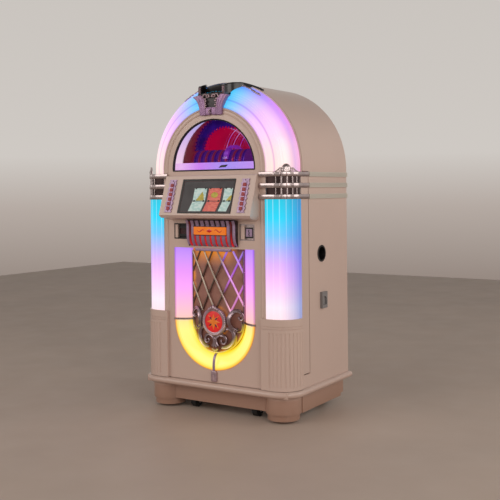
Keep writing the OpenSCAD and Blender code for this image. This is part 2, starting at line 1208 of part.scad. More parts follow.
module tube_tail() {
    color(chrome)
        place()
            difference() {
                union() {
                    box(-16.5, 16.5, -6, 0, 152, 202);
                    intersection() {
                        slab(-12, 46)
                            polygon([[-16.5, 190], [16.5, 190], [10, 290], [-10, 290]]);
                        translate([0, 0, 0])
                            union() {
                                under_u()
                                    intersection() {
                                        difference() {
                                            translate([229, -105.6])
                                                circle(r = 114);
                                            translate([229, -105.6])
                                                circle(r = 106.3);
                                        }
                                        translate([tube_in + 1, -44])
                                            square([tube_out - tube_in + 20, 60]);
                                    }
                                box(-16.5, 16.5, -9, 0, 180, 204.7);
                            }
                    }
                }
                under_u()
                    union() {
                        translate([229, -105.6])
                            circle(r = 106.3);
                        translate([tube_out - 12.3, -8])
                            square([12.6, 11.3]);
                    }
            }
}

module grille_cloth() {
    color([0.35, 0.20, 0.12])
        place()
            difference() {
                intersection() {
                    slab(0, 66)
                        u_outline(tube_in - 0.3, 756);
                    zcyl(0, 620, 250, 800, 600);
                }
                intersection() {
                    slab(0, 70)
                        u_outline(tube_in - 10, 746);
                    zcyl(0, 620, 250, 800, 594);
                }
            }
}

module lattice_flat() {
    a = atan(lat_x / lat_z);
    intersection() {
        union() {
            for (s = [-1, 1])
                for (k = [-5 : 5])
                    translate([2 * lat_x * k, 548])
                        translate([lat_x, 0])
                            rotate([0, 0, s * a])
                                translate([-3.5, -400])
                                    square([7, 800]);
        }
        u_outline(tube_in - 1, 750);
        translate([-200, 300])
            square([400, 450]);
    }
}

// A flat curl of the ornament: part of a ring of width w between two angles.
module curl(x, z, r, w, a0, a1) {
    translate([x, z])
        difference() {
            intersection() {
                circle(r = r);
                polygon(concat([[0, 0]], [for (i = [0 : 8])
                    2 * r * [cos(a0 + (a1 - a0) * i / 8), sin(a0 + (a1 - a0) * i / 8)]]));
            }
            circle(r = r - w);
        }
}

// Right half of the leaf scrolls round the medallion.
module scrolls() {
    curl(104, 438, 43, 12, 72, 262);
    curl(121, 412, 21, 5, -170, 20);
    curl(60, 353, 41, 11, -106, 116);
    curl(33, 343, 25, 8, -40, 250);
    curl(3, 318, 17, 9, 180, 340);
}

module grille_lattice() {
    color(chrome)
        place()
            difference() {
                union() {
                    intersection() {
                        slab(0, 66)
                            union() {
                                lattice_flat();
                                translate([0, 425])
                                    circle(r = 62);
                                translate([-97, 742])
                                    square([194, 14]);
                            }
                        difference() {
                            zcyl(0, 620, 250, 800, 607);
                            zcyl(0, 620, 240, 810, 600.3);
                        }
                    }
                    ycyl(0, 0, 22, 425, 65);
                    for (t = [0 : 15 : 345])
                        ycyl(65 * cos(t), 2, 16, 425 + 65 * sin(t), 6);
                    box(-97, 97, 0, 22, 744, 757);
                    slab(3, 34) {
                        scrolls();
                        mirror([1, 0])
                            scrolls();
                    }
                }
                zcyl(0, 620, 240, 810, 600.3);
                ycyl(0, -5, 12, 425, 50.3);
            }
}

module medallion() {
    color(red)
        place()
            union() {
                ycyl(0, 4, 12, 425, 50);
                slab(-2, 5)
                    union() {
                        for (k = [0 : 4])
                            translate([0, 425])
                                rotate([0, 0, 72 * k])
                                    polygon([[-12, 0], [0, 40], [12, 0]]);
                    }
            }
}

// Seen from above: one wing of the crest, swept back from its post.
module wing_plan() {
    polygon([[58, -2], [72, -2], [76, 26], [84, 46], [101, 67], [113, 88], [155, 108],
        [196, 124], [194, 136], [148, 130], [98, 110], [86, 78], [68, 54], [60, 30]]);
}

// Section (radius, -depth): how high the crest may stand at each depth.
module crest_height() {
    polygon([[240, 14], [383, 14], [385, 0], [402, -58], [410, -96], [410, -138],
        [240, -138]]);
}

module top_crest() {
    color(chrome)
        place()
            difference() {
                union() {
                    slab(-12, 40)
                        polygon([[-60, 1362], [60, 1362], [62, 1380], [66, 1402], [75, 1424],
                            [99, 1448], [72, 1453], [72, 1494], [58, 1494], [56, 1460],
                            [-56, 1460], [-58, 1494], [-72, 1494], [-72, 1453],
                            [-99, 1448], [-75, 1424], [-66, 1402], [-62, 1380]]);
                    intersection() {
                        translate([0, 0, 1380])
                            linear_extrude(180)
                                union() {
                                    wing_plan();
                                    mirror([1, 0])
                                        wing_plan();
                                }
                        over_arch()
                            crest_height();
                    }
                    intersection() {
                        box(-70, 70, 5, 103, 1380, 1540);
                        over_arch()
                            translate([arch_c, -arch_cy])
                                circle(r = arch_rr + 4);
                    }
                }
                box(-220, 220, 0, 220, 1300, spring_z + lit_in + 0.3);
                over_arch()
                    union() {
                        lens_section(arch_rr + 0.3);
                        lens_ribs(3);
                        translate([200, -104])
                            square([82, 104]);
                        translate([240, -220])
                            square([half_w + 1.6 - 240, 220 - lens_edge]);
                    }
                slab(-13, 3)
                    round_rect(-27, 27, 1398, 1442, 5);
            }
}

// ---------- assembly ----------

cabinet_side_left();
cabinet_side_right();
cabinet_arch_top();
cabinet_floor();
back_panel();
base_moulding();
base_apron();
side_trims_left();
side_trims_right();
lock_cup();
side_outlet();
door_hinges();
caster_plates();
mech_shelf();
mech_backdrop();
comb_ring();
disc_rack();
discs();
amplifier();
baffle_board();
woofer();
mains_inlet();
door_panel();
door_arch();
door_rim();
window_glass();
arch_lens();
column_lens_left();
column_lens_right();
crown_left();
crown_right();
plinth_left();
plinth_right();
selector_housing();
screen();
selector_strips();
coin_bonnet();
sign_plate();
note_acceptor();
coin_entry();
bubble_tube();
tube_bands();
tube_tail();
grille_cloth();
grille_lattice();
medallion();
top_crest();
carriage();
gripper_arm();
spindle();
power_switch();
lock_barrel();
caster_fork_fl();
caster_fork_fr();
caster_fork_rl();
caster_fork_rr();
caster_wheel_fl();
caster_wheel_fr();
caster_wheel_rl();
caster_wheel_rr();
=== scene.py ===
import math

import bmesh
import bpy
from mathutils import Matrix, Vector


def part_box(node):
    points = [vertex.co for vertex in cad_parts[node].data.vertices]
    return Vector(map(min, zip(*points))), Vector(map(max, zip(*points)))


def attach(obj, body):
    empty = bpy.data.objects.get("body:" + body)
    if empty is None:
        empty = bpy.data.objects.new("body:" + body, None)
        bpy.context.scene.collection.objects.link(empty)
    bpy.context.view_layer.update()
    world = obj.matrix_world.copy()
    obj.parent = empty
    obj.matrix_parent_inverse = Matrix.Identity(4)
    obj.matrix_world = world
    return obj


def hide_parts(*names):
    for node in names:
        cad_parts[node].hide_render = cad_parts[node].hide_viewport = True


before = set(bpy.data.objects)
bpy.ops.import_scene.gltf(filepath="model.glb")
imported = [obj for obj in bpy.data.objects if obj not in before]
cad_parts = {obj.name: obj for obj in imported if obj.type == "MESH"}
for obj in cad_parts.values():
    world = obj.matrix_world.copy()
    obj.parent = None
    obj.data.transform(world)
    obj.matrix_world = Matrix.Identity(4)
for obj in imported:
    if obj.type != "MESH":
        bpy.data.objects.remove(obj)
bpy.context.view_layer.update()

MM = 0.001
Y_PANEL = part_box("door_panel")[0].y / MM     # depth of the flat front panel, in mm
SPRING = 1118.0                              # springing line of the arch
COL_X, COL_Y, COL_R = 314.4, 80.8, 87.6      # centre and radius of the corner columns
ARCH_C, ARCH_CY, ARCH_R = 257.0, 143.0, 145.0    # the arch lens' section
GRILLE_Y, GRILLE_R = 10.0, 305.0             # depth and radius of the bulged grille
CLOTH_Y, CLOTH_R = 617.0, 600.0              # axis depth and radius of the cloth's front
MEDAL_Z = 425.0                              # height of the medallion's centre


def at(x, y, z):
    """A point given in mm from the front panel, in the row frame in metres."""
    return Vector((x * MM, (y + Y_PANEL) * MM, z * MM))

# --- materials

class Net:
    """A number inside a node tree. Arithmetic on it adds the matching Math nodes."""

    def __init__(self, nt, out):
        self.nt, self.out = nt, out

    def op(self, name, *others, swap=False):
        n = self.nt.nodes.new("ShaderNodeMath")
        n.operation = name
        values = (self, *others)
        feed(self.nt, n, dict(enumerate(reversed(values) if swap else values)))
        return Net(self.nt, n.outputs[0])

    def __add__(self, v):
        return self.op("ADD", v)

    def __sub__(self, v):
        return self.op("SUBTRACT", v)

    def __rsub__(self, v):
        return self.op("SUBTRACT", v, swap=True)

    def __mul__(self, v):
        return self.op("MULTIPLY", v)

    def __pow__(self, v):
        return self.op("POWER", v)

    def __abs__(self):
        return self.op("ABSOLUTE")

    def larger(self, v):
        return self.op("MAXIMUM", v)

    def clamped(self):
        self.out.node.use_clamp = True
        return self

    def span(self, lo, hi):
        """0 at lo, 1 at hi, and no further."""
        n = self.nt.nodes.new("ShaderNodeMapRange")
        feed(self.nt, n, {"From Min": lo, "From Max": hi, "Value": self})
        return Net(self.nt, n.outputs["Result"])

    def ramp(self, *stops):
        """A colour from (position, display colour) stops."""
        r = self.nt.nodes.new("ShaderNodeValToRGB")
        els = r.color_ramp.elements
        while len(els) > 1:
            els.remove(els[-1])
        els[0].position = stops[0][0]
        els[0].color = rgba(stops[0][1])
        for pos, col in stops[1:]:
            els.new(pos).color = rgba(col)
        self.nt.links.new(self.out, r.inputs["Fac"])
        return r.outputs["Color"]


def feed(nt, node, values):
    """Sets or links the named inputs of a node."""
    for key, v in values.items():
        sock = node.inputs[key]
        if isinstance(v, (int, float, tuple)):
            sock.default_value = v
        else:
            nt.links.new(v.out if isinstance(v, Net) else v, sock)


def hypot(a, b):
    return (a ** 2.0 + b ** 2.0).op("SQRT")


def new_mat(name):
    m = bpy.data.materials.new(name)
    m.use_nodes = True
    nt = m.node_tree
    return m, nt, nt.nodes["Principled BSDF"]


def coords(nt):
    return nt.nodes.new("ShaderNodeTexCoord").outputs["Object"]


def noise(nt, scale, detail=3.0, stretch=None):
    n = nt.nodes.new("ShaderNodeTexNoise")
    src = coords(nt)
    if stretch:
        mp = nt.nodes.new("ShaderNodeMapping")
        feed(nt, mp, {"Scale": stretch, "Vector": src})
        src = mp.outputs["Vector"]
    feed(nt, n, {"Scale": scale, "Detail": detail, "Vector": src})
    return Net(nt, n.outputs["Fac"])


def rgba(c):
    """0-255 display colour to linear."""
    out = []
    for v in c[:3]:
        v = v / 255.0
        out.append(v / 12.92 if v <= 0.04045 else ((v + 0.055) / 1.055) ** 2.4)
    return (*out, 1.0)


def bump(nt, bsdf, height, strength, distance=0.0004):
    b = nt.nodes.new("ShaderNodeBump")
    feed(nt, b, {"Strength": strength, "Distance": distance, "Height": height})
    nt.links.new(b.outputs["Normal"], bsdf.inputs["Normal"])


def mix(nt, fac, a, b, blend="MIX"):
    n = nt.nodes.new("ShaderNodeMix")
    n.data_type = "RGBA"
    n.blend_type = blend
    feed(nt, n, {0: fac, 6: a, 7: b})
    return n.outputs[2]


def tinted(nt, a, b):
    return mix(nt, 1.0, a, b, "MULTIPLY")


def patchy(scale, low, high, start=0.3):
    """A colour that wanders between two tones, as a function of the node tree."""
    return lambda nt: noise(nt, scale).ramp((start, low), (0.7, high))


def solid(name, col, rough, metal=0.0, vary=0.06, scale=9.0, grain=260.0, bump_s=0.08,
          coat=0.0, rough_vary=0.06, stretch=None, foot=None):
    """A finish with broad colour variation, fine surface grain and uneven roughness; foot, if
    given, multiplies in painted shade that darkens it towards the floor.
    """
    m, nt, b = new_mat(name)
    light = tuple(min(255, v * (1 + vary)) for v in col)
    deep = tuple(v * (1 - vary) for v in col)
    paint_col = noise(nt, scale, 4.0, stretch).ramp((0.3, deep), (0.7, light))
    # painted shade: the foot stops darken the colour within 0.15 m of the floor
    if foot:
        paint_col = tinted(nt, paint_col, xyz(nt)[2].span(0.0, 0.15).ramp(*foot))
    sep = nt.nodes.new("ShaderNodeSeparateColor")
    nt.links.new(noise(nt, scale * 3.1, 3.0, stretch).ramp(
        (0.3, (255 * max(0.02, rough - rough_vary),) * 3),
        (0.7, (255 * (rough + rough_vary),) * 3)), sep.inputs[0])
    feed(nt, b, {"Base Color": paint_col, "Roughness": Net(nt, sep.outputs[0]) ** (1 / 2.2),
                 "Metallic": metal, "Coat Weight": coat, "Coat Roughness": 0.06})
    bump(nt, b, noise(nt, grain, 2.0), bump_s)
    return m


def xyz(nt):
    s = nt.nodes.new("ShaderNodeSeparateXYZ")
    nt.links.new(coords(nt), s.inputs[0])
    return [Net(nt, out) for out in s.outputs]


def glow(name, colour_of, strength, rough=0.22, base=0.35):
    """A lit translucent plastic; colour_of(nt) returns its colour over the surface."""
    m, nt, b = new_mat(name)
    col = colour_of(nt)
    feed(nt, b, {"Base Color": mix(nt, base, (0.02, 0.02, 0.02, 1.0), col),
                 "Emission Color": col, "Emission Strength": strength, "Roughness": rough,
                 "Coat Weight": 0.25})
    bump(nt, b, noise(nt, 120.0, 2.0), 0.05)
    return m


WHITE = (255, 255, 255)
# the cream is the same paint all over; the darkening near the floor from its foot stops is painted
# shade
CREAM = solid("cream_gloss_paint_with_painted_floor_shade", (208, 183, 171), 0.30, vary=0.015, scale=2.0, grain=420.0,
              bump_s=0.012, coat=0.2, rough_vary=0.02,
              foot=((0.0, (196, 172, 156)), (0.66, (210, 190, 178)), (0.74, (236, 226, 220)),
                    (1.0, WHITE)))
CHROME = solid("bright_chrome", (190, 176, 176), 0.20, 1.0, vary=0.05, scale=22.0, grain=300.0,
               bump_s=0.03)
CHROME_LILAC = solid("lilac_tinted_chrome", (166, 142, 170), 0.36, 0.55, vary=0.05, scale=25.0,
                     bump_s=0.04)
MAUVE = solid("mauve_satin_casting", (148, 114, 150), 0.34, 0.35, vary=0.08, scale=18.0,
              bump_s=0.03)
CAST_CHROME = solid("soft_cast_chrome", (184, 160, 168), 0.32, 0.75, vary=0.10, scale=45.0,
                    grain=200.0, bump_s=0.14)
DARK_CHROME = solid("smoked_chrome", (84, 70, 74), 0.24, 1.0, vary=0.15, scale=18.0)
SMOKE = solid("smoked_brown_metal", (66, 50, 50), 0.30, 0.7, vary=0.15, scale=20.0)
BLACK = solid("black_satin_plastic", (15, 12, 14), 0.40, vary=0.2, scale=30.0, bump_s=0.12)
BLACK_GLOSS = solid("black_gloss", (7, 5, 7), 0.16, vary=0.2, scale=12.0, coat=0.15)
SLATE = solid("violet_black_plastic", (30, 21, 27), 0.34, vary=0.2, scale=9.0, bump_s=0.06)
MAROON = solid("dark_maroon_plastic", (58, 6, 16), 0.28, vary=0.2, scale=30.0)
RED = solid("translucent_red_insert", (206, 12, 16), 0.20, vary=0.12, scale=60.0, coat=0.5)
RUBBER = solid("black_rubber", (20, 20, 21), 0.62, vary=0.25, scale=70.0, bump_s=0.3)
GREY = solid("grey_moulded_plastic", (128, 124, 124), 0.45, vary=0.06, scale=40.0, bump_s=0.2)
ALU = solid("ribbed_aluminium", (204, 198, 186), 0.42, 0.25, vary=0.04, scale=12.0,
            stretch=(1, 0.05, 1))
PLY = solid("birch_ply", (168, 132, 92), 0.60, vary=0.16, scale=5.0, stretch=(1, 1, 14),
            bump_s=0.2, grain=120.0)
ZINC = solid("zinc_plated_steel", (150, 150, 154), 0.34, 0.9, vary=0.10, scale=55.0)


def column_colour(nt):
    x, y, z = xyz(nt)
    base = z.span(459 * MM, 980 * MM).ramp(
        (0.0, (255, 226, 236)), (0.10, (253, 232, 246)), (0.20, (252, 214, 246)),
        (0.34, (243, 190, 252)), (0.46, (222, 178, 254)), (0.58, (176, 182, 252)),
        (0.70, (104, 196, 250)), (0.84, (10, 212, 246)), (1.0, (0, 196, 224)))
    ang = (abs(x) - COL_X * MM).op("ARCTAN2", (COL_Y + Y_PANEL) * MM - y)
    # painted highlights: narrow white streaks along the ribs, stronger higher up
    wave = ((ang - math.radians(5)) * (360 / 19.0)).op("COSINE")
    amount = wave.larger(0.0) ** 14.0 * (z.span(0.60, 0.98) * 0.22 + 0.10)
    lit = mix(nt, amount, base, rgba(WHITE))
    # painted shade: the colour darkens and turns bluer towards the column's side
    return tinted(nt, lit, ang.span(0.5, 1.6).ramp((0.0, WHITE), (1.0, (150, 176, 222))))


def arch_colour(nt):
    x, y, z = xyz(nt)
    up = z - SPRING * MM
    base = up.op("ARCTAN2", abs(x)).span(0.0, math.pi / 2).ramp(
        (0.0, (254, 226, 218)), (0.16, (253, 222, 226)), (0.34, (250, 206, 246)),
        (0.50, (234, 190, 254)), (0.64, (190, 190, 254)), (0.76, (128, 200, 254)),
        (0.88, (30, 196, 250)), (1.0, (0, 190, 240)))
    tint = hypot(up, x).span(281 * MM, 397 * MM).ramp(
        (0.0, (214, 190, 224)), (0.06, (248, 246, 250)), (0.28, WHITE),
        (0.335, (226, 202, 240)), (0.38, (255, 252, 255)), (0.70, WHITE),
        (0.84, (244, 228, 250)), (0.92, (220, 196, 250)), (1.0, (232, 186, 238)))
    return tinted(nt, base, tint)


def tube_colour(nt):
    x, y, z = xyz(nt)
    base = z.span(205 * MM, 757 * MM).ramp(
        (0.0, (255, 240, 110)), (0.30, (255, 244, 140)), (0.375, (254, 232, 150)),
        (0.40, (253, 200, 190)), (0.50, (253, 190, 214)), (0.66, (250, 166, 246)),
        (0.80, (232, 150, 254)), (0.92, (204, 146, 254)), (1.0, (184, 134, 255)))
    across = hypot((425 * MM - z).larger(0.0), x).span(142 * MM, 220 * MM)
    edge = across.ramp((0.0, (232, 200, 40)), (0.10, (255, 240, 120)), (0.30, (255, 255, 240)),
                       (0.78, (255, 255, 250)), (0.92, (255, 220, 150)), (1.0, (226, 150, 100)))
    pale = across.ramp((0.0, (206, 170, 214)), (0.14, WHITE), (0.86, WHITE),
                       (1.0, (206, 176, 220)))
    return tinted(nt, base, mix(nt, z.span(436 * MM, 424 * MM), pale, edge))


def reveal_colour(nt):
    return xyz(nt)[2].span(1110 * MM, 1375 * MM).ramp(
        (0.0, (255, 226, 240)), (0.35, (250, 214, 250)), (0.7, (214, 190, 250)),
        (1.0, (150, 190, 250)))


def sill_colour(nt):
    return xyz(nt)[0].span(-0.23, 0.23).ramp(
        (0.0, (255, 206, 255)), (0.3, (214, 130, 255)), (0.62, (170, 146, 255)),
        (1.0, (206, 150, 255)))


def insert_colour(nt):
    return xyz(nt)[2].span(778 * MM, 840 * MM).ramp(
        (0.0, (222, 10, 12)), (0.5, (170, 2, 8)), (1.0, (92, 0, 6)))


LENS_COLUMN = glow("lit_column_lens", column_colour, 1.0, base=0.12)
LENS_ARCH = glow("lit_arch_lens", arch_colour, 1.02, base=0.12)
LENS_TUBE = glow("lit_tube_lens", tube_colour, 1.0, base=0.12)
LIT_REVEAL = glow("lit_window_reveal", reveal_colour, 0.80, base=0.1)
LIT_SILL = glow("lit_window_sill", sill_colour, 0.78, base=0.1)
BACKDROP = glow("crimson_backdrop", patchy(5.0, (150, 0, 50), (206, 4, 66)), 0.62, rough=0.5)
COMB = glow("indigo_comb", patchy(16.0, (30, 4, 96), (62, 24, 170)), 0.35, rough=0.4)
VIOLET_METAL = glow("violet_lit_metal", patchy(24.0, (96, 20, 150), (170, 60, 220)), 0.45,
                    rough=0.2)
SIGN = glow("amber_sign", patchy(30.0, (236, 112, 0), (246, 130, 4)), 0.76, rough=0.25,
            base=0.15)
INSERT = glow("red_lit_insert", patchy(50.0, (190, 4, 8), (236, 20, 18)), 0.55, rough=0.15)
INSERT_FADE = glow("red_insert_fading_up", insert_colour, 0.5, rough=0.15)
KEY = glow("dark_red_key", patchy(70.0, (140, 0, 6), (172, 0, 12)), 0.6, rough=0.5, base=0.05)
STAR = glow("orange_star", patchy(40.0, (226, 104, 6), (244, 132, 20)), 0.5, rough=0.3)
MEDAL = glow("red_medallion", patchy(30.0, (210, 2, 2), (236, 10, 6)), 0.72, rough=0.4,
             base=0.1)
# painted light: the mechanism wires glow violet to pale, standing in for the lamps inside the
# cabinet
WIRE = glow("wire_with_painted_violet_glow", patchy(12.0, (150, 40, 220), (230, 190, 255), 0.35), 0.6,
            rough=0.2)


def disc_material():
    """Silver discs whose edges show violet, blue and copper in turn, as a painted sheen that also
    glows.
    """
    m, nt, b = new_mat("disc_with_painted_rainbow_sheen")
    band = ((xyz(nt)[0] + 1.0) * (1 / 0.039)).op("FRACT")
    col = band.ramp((0.0, (84, 26, 140)), (0.3, (40, 40, 150)), (0.55, (150, 60, 170)),
                    (0.72, (170, 50, 60)), (0.86, (190, 130, 200)), (1.0, (84, 26, 140)))
    # painted sheen: the colour bands are both the base colour and a faint glow
    feed(nt, b, {"Base Color": col, "Emission Color": col, "Emission Strength": 0.28,
                 "Metallic": 0.8, "Roughness": 0.18})
    bump(nt, b, noise(nt, 200.0), 0.05, 0.0003)
    return m


def cloth_material():
    """Woven metallic grille cloth, lit amber from above and at its edges."""
    m, nt, b = new_mat("woven_grille_cloth")
    x, y, z = xyz(nt)
    fine = 1120.0                            # threads, in radians per metre
    weave = (((x + z) * fine).op("SINE") * ((x - z) * fine).op("SINE")).span(-1.0, 1.0)
    thread = weave.ramp((0.0, (112, 70, 60)), (0.5, (166, 118, 104)), (1.0, (208, 164, 148)))
    patch = noise(nt, 14.0).ramp((0.3, (214, 200, 196)), (0.7, (255, 250, 248)))
    low = z.span(0.30, 0.52).ramp((0.0, (196, 160, 140)), (1.0, WHITE))
    high = z.span(668 * MM, 752 * MM).larger(0.0) ** 1.5 * (
        1.0 - abs(x + 0.02).span(0.07, 0.135)).clamped()
    left = (x.span(-0.118, -0.136) * z.span(0.46, 0.56)).clamped()
    ring = hypot(x, z - MEDAL_Z * MM)
    near = ((1.0 - ring.span(0.062, 0.078)).clamped() * x.span(0.0, 0.03)).clamped()
    rim = (ring.span(0.126, 0.141) * z.span(0.40, 0.36)).clamped()
    edges = (left * 0.75).larger((near * 0.6).larger(rim * 0.7))
    lit = high.larger((edges * noise(nt, 22.0).span(0.35, 0.6)).clamped()).clamped()
    amber = mix(nt, weave, rgba((214, 104, 0)), rgba((255, 166, 0)))
    feed(nt, b, {"Base Color": tinted(nt, tinted(nt, thread, patch), low),
                 "Emission Color": mix(nt, lit, rgba((44, 28, 24)), amber),
                 "Emission Strength": 0.9, "Roughness": 0.55, "Metallic": 0.15})
    bump(nt, b, weave, 0.5, 0.0008)
    return m


def metal_with_painted_reflection(name, col, rough, tint, amount):
    """Chrome with a painted reflection of the lamps beside it, added as a tinted glow; tint and
    amount take the tree.
    """
    m, nt, b = new_mat(name)
    deep = tuple(v * 0.88 for v in col)
    feed(nt, b, {"Base Color": patchy(30.0, deep, col)(nt), "Metallic": 1.0, "Roughness": rough,
                 "Emission Color": mix(nt, amount(nt), (0.0, 0.0, 0.0, 1.0), tint(nt)),
                 "Emission Strength": 0.7})
    bump(nt, b, noise(nt, 240.0), 0.08)
    return m


# colour of the painted reflection of the tube on the lattice bars, pink low down and violet higher
# up
def bar_tint(nt):
    return xyz(nt)[2].span(0.46, 0.75).ramp((0.0, (236, 150, 196)), (0.35, (214, 110, 222)),
                                            (0.75, (160, 70, 226)), (1.0, (140, 110, 240)))


# where the painted reflection lies: on the bars towards the tube at positive x
def bar_painted_reflection_amount(nt):
    x, y, z = xyz(nt)
    return (x + (z - 0.46) * 0.10).span(0.055, 0.085)


# where the painted yellow reflection of the tube lies: low on the ring round the medallion, next to
# the tube
def rim_painted_reflection_amount(nt):
    x, y, z = xyz(nt)
    return (hypot(x, z - MEDAL_Z * MM).span(0.116, 0.142) * z.span(0.425, 0.37)).clamped()


# one chrome in two brightnesses: the bars of one slant carry painted light, those of the other
# slant painted shade
BAR_PAINTED_LIT = metal_with_painted_reflection("lattice_chrome_painted_lit", (226, 214, 196), 0.30, bar_tint, bar_painted_reflection_amount)
BAR_PAINTED_SHADE = metal_with_painted_reflection("lattice_chrome_painted_shade", (128, 110, 102), 0.36, bar_tint, bar_painted_reflection_amount)
# cast chrome; near the tube it carries a painted yellow reflection of the tube as a glow
SCROLL = metal_with_painted_reflection("cast_scroll_chrome", (172, 152, 160), 0.26,
                   patchy(20.0, (230, 190, 0), (255, 240, 40)), rim_painted_reflection_amount)
SLOT_NAVY = solid("navy_slot", (34, 26, 70), 0.35, vary=0.2, scale=40.0)


def glass_material():
    m, nt, b = new_mat("window_glass_clear")
    feed(nt, b, {"Base Color": patchy(4.0, (246, 250, 252), WHITE)(nt), "Roughness": 0.02,
                 "Transmission Weight": 1.0, "IOR": 1.05, "Alpha": 0.12})
    return m


DISC = disc_material()
CLOTH = cloth_material()
GLASS = glass_material()

# --- mesh tools


def add_object(name, data):
    o = bpy.data.objects.new(name, data)
    bpy.context.scene.collection.objects.link(o)
    return o


def piece(name, bm, mat, slot, body="door", smooth=True, bevel=0.0, replaces=()):
    """Turns bm into a named piece that rides on a body and stands for the nodes it replaces."""
    me = bpy.data.meshes.new(name)
    bmesh.ops.recalc_face_normals(bm, faces=bm.faces)
    bm.to_mesh(me)
    bm.free()
    o = add_object(name, me)
    me.materials.append(mat)
    for p in me.polygons:
        p.use_smooth = smooth
    if bevel:
        mod = o.modifiers.new("soft_edges", "BEVEL")
        mod.width = bevel * MM
        mod.segments = 2
        mod.limit_method = "ANGLE"
    if smooth:
        me.set_sharp_from_angle(angle=math.radians(38))
    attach(o, body)
    if replaces:
        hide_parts(*replaces)


def skin(bm, rows, closed=False, caps=False, loop=False):
    """Faces between rows of vertices. closed joins the ends of each row, loop the last row to
    the first, and caps fills the first and last rows."""
    n = len(rows[0])
    for p, q in zip(rows, rows[1:] + (rows[:1] if loop else [])):
        for j in range(n if closed else n - 1):
            k = (j + 1) % n
            bm.faces.new([p[j], p[k], q[k], q[j]])
    if caps:
        bm.faces.new(rows[0])
        bm.faces.new(list(reversed(rows[-1])))


def add_boxes(bm, *boxes, place=at):
    """Boxes given as x0, x1, y0, y1, z0, z1 in mm."""
    for x0, x1, y0, y1, z0, z1 in boxes:
        skin(bm, [[bm.verts.new(place(x, y, z)) for x, z in ((x0, z0), (x1, z0), (x1, z1),
                                                             (x0, z1))] for y in (y0, y1)],
             closed=True, caps=True)


def add_sweep(bm, path, section, closed=False, up=Vector((0, -1, 0)), scale=None):
    """Sweeps a closed section (across, out) along path points in metres. out follows up."""
    rings = []
    n = len(path)
    for i, p in enumerate(path):
        a = path[(i - 1) % n] if closed or i > 0 else path[i]
        b = path[(i + 1) % n] if closed or i < n - 1 else path[i]
        t = (b - a).normalized()
        u = up[i] if isinstance(up, list) else up
        side = t.cross(u)
        if side.length < 1e-6:
            side = t.cross(Vector((0.3, 0.2, 1.0)))
        side.normalize()
        out = side.cross(t).normalized()
        k = scale[i] if scale else 1.0
        rings.append([bm.verts.new(p + side * (c[0] * k * MM) + out * (c[1] * k * MM))
                      for c in section])
    skin(bm, rings, closed=True, caps=not closed, loop=closed)


def taper(first, last, n):
    """n + 1 scales that run evenly from first to last."""
    return [first + (last - first) * i / n for i in range(n + 1)]


def turn(cx, cz, rx, rz, a0, a1, n):
    """n + 1 points (x, z) along an arc of an ellipse; the angles are in degrees."""
    angles = [math.radians(a) for a in taper(a0, a1, n)]
    return [(cx + rx * math.cos(a), cz + rz * math.sin(a)) for a in angles]


def round_section(w, h, n=10):
    """A dome: flat at the back, round at the front."""
    return turn(0, 0, w / 2, h, 180, 0, n)


def circle_section(r, n=12):
    return turn(0, 0, r, r, 0, 360, n)[:-1]


def spline(points, n):
    """A smooth line of n + 1 points through the given ones."""
    pts = [points[0]] + list(points) + [points[-1]]
    out = []
    count = len(points) - 1
    for i in range(n + 1):
        t = min(i * count / n, count - 1e-9)
        k = int(t)
        u = t - k
        a, b, c, d = pts[k:k + 4]
        out.append(tuple(0.5 * (2 * q + (r - p) * u + (2 * p - 5 * q + 4 * r - s) * u * u
                                + (3 * q - p - 3 * r + s) * u ** 3)
                         for p, q, r, s in zip(a, b, c, d)))
    return out


def add_prism(bm, outline, y0, y1, crown=0.0):
    """Front outline (x, z) between depths y0 and y1; crown bulges the front's middle."""
    n = len(outline)
    front = [bm.verts.new(at(x, y0, z)) for x, z in outline]
    back = [bm.verts.new(at(x, y1, z)) for x, z in outline]
    skin(bm, [front, back], closed=True)
    bm.faces.new(back)
    if crown:
        cx = sum(p[0] for p in outline) / n
        cz = sum(p[1] for p in outline) / n
        rows = [front]
        for k in (0.8, 0.5, 0.2):
            rows.append([bm.verts.new(at(cx + (x - cx) * k,
                                         y0 - crown * math.sqrt(1 - k * k), cz + (z - cz) * k))
                         for x, z in outline])
        skin(bm, rows, closed=True)
        bm.faces.new(rows[-1])
    else:
        bm.faces.new(front)


def box_piece(name, mat, slot, *boxes, place=at, **look):
    bm = bmesh.new()
    add_boxes(bm, *boxes, place=place)
    piece(name, bm, mat, slot, smooth=False, **look)


def add_ball(bm, x, y, z, r, flat=1.0):
    mat = Matrix.Translation(at(x, y, z)) @ Matrix.Diagonal((1, flat, 1, 1))
    bmesh.ops.create_uvsphere(bm, u_segments=12, v_segments=8, radius=r * MM, matrix=mat)


def arc(cx, cz, r, a0, a1, n, y):
    return [at(x, y, z) for x, z in turn(cx, cz, r, r, a0, a1, n)]


def grille_y(x, off=0.0):
    """Depth of the grille at x, or of the cloth where that is ahead, standing off by off."""
    bulge = GRILLE_Y + GRILLE_R - math.sqrt(GRILLE_R ** 2 - x * x)
    return min(bulge, CLOTH_Y - math.sqrt(CLOTH_R ** 2 - x * x)) - off


def paint(node, mat):
    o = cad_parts[node]
    o.data.materials.clear()
    o.data.materials.append(mat)

# --- CAD finishes

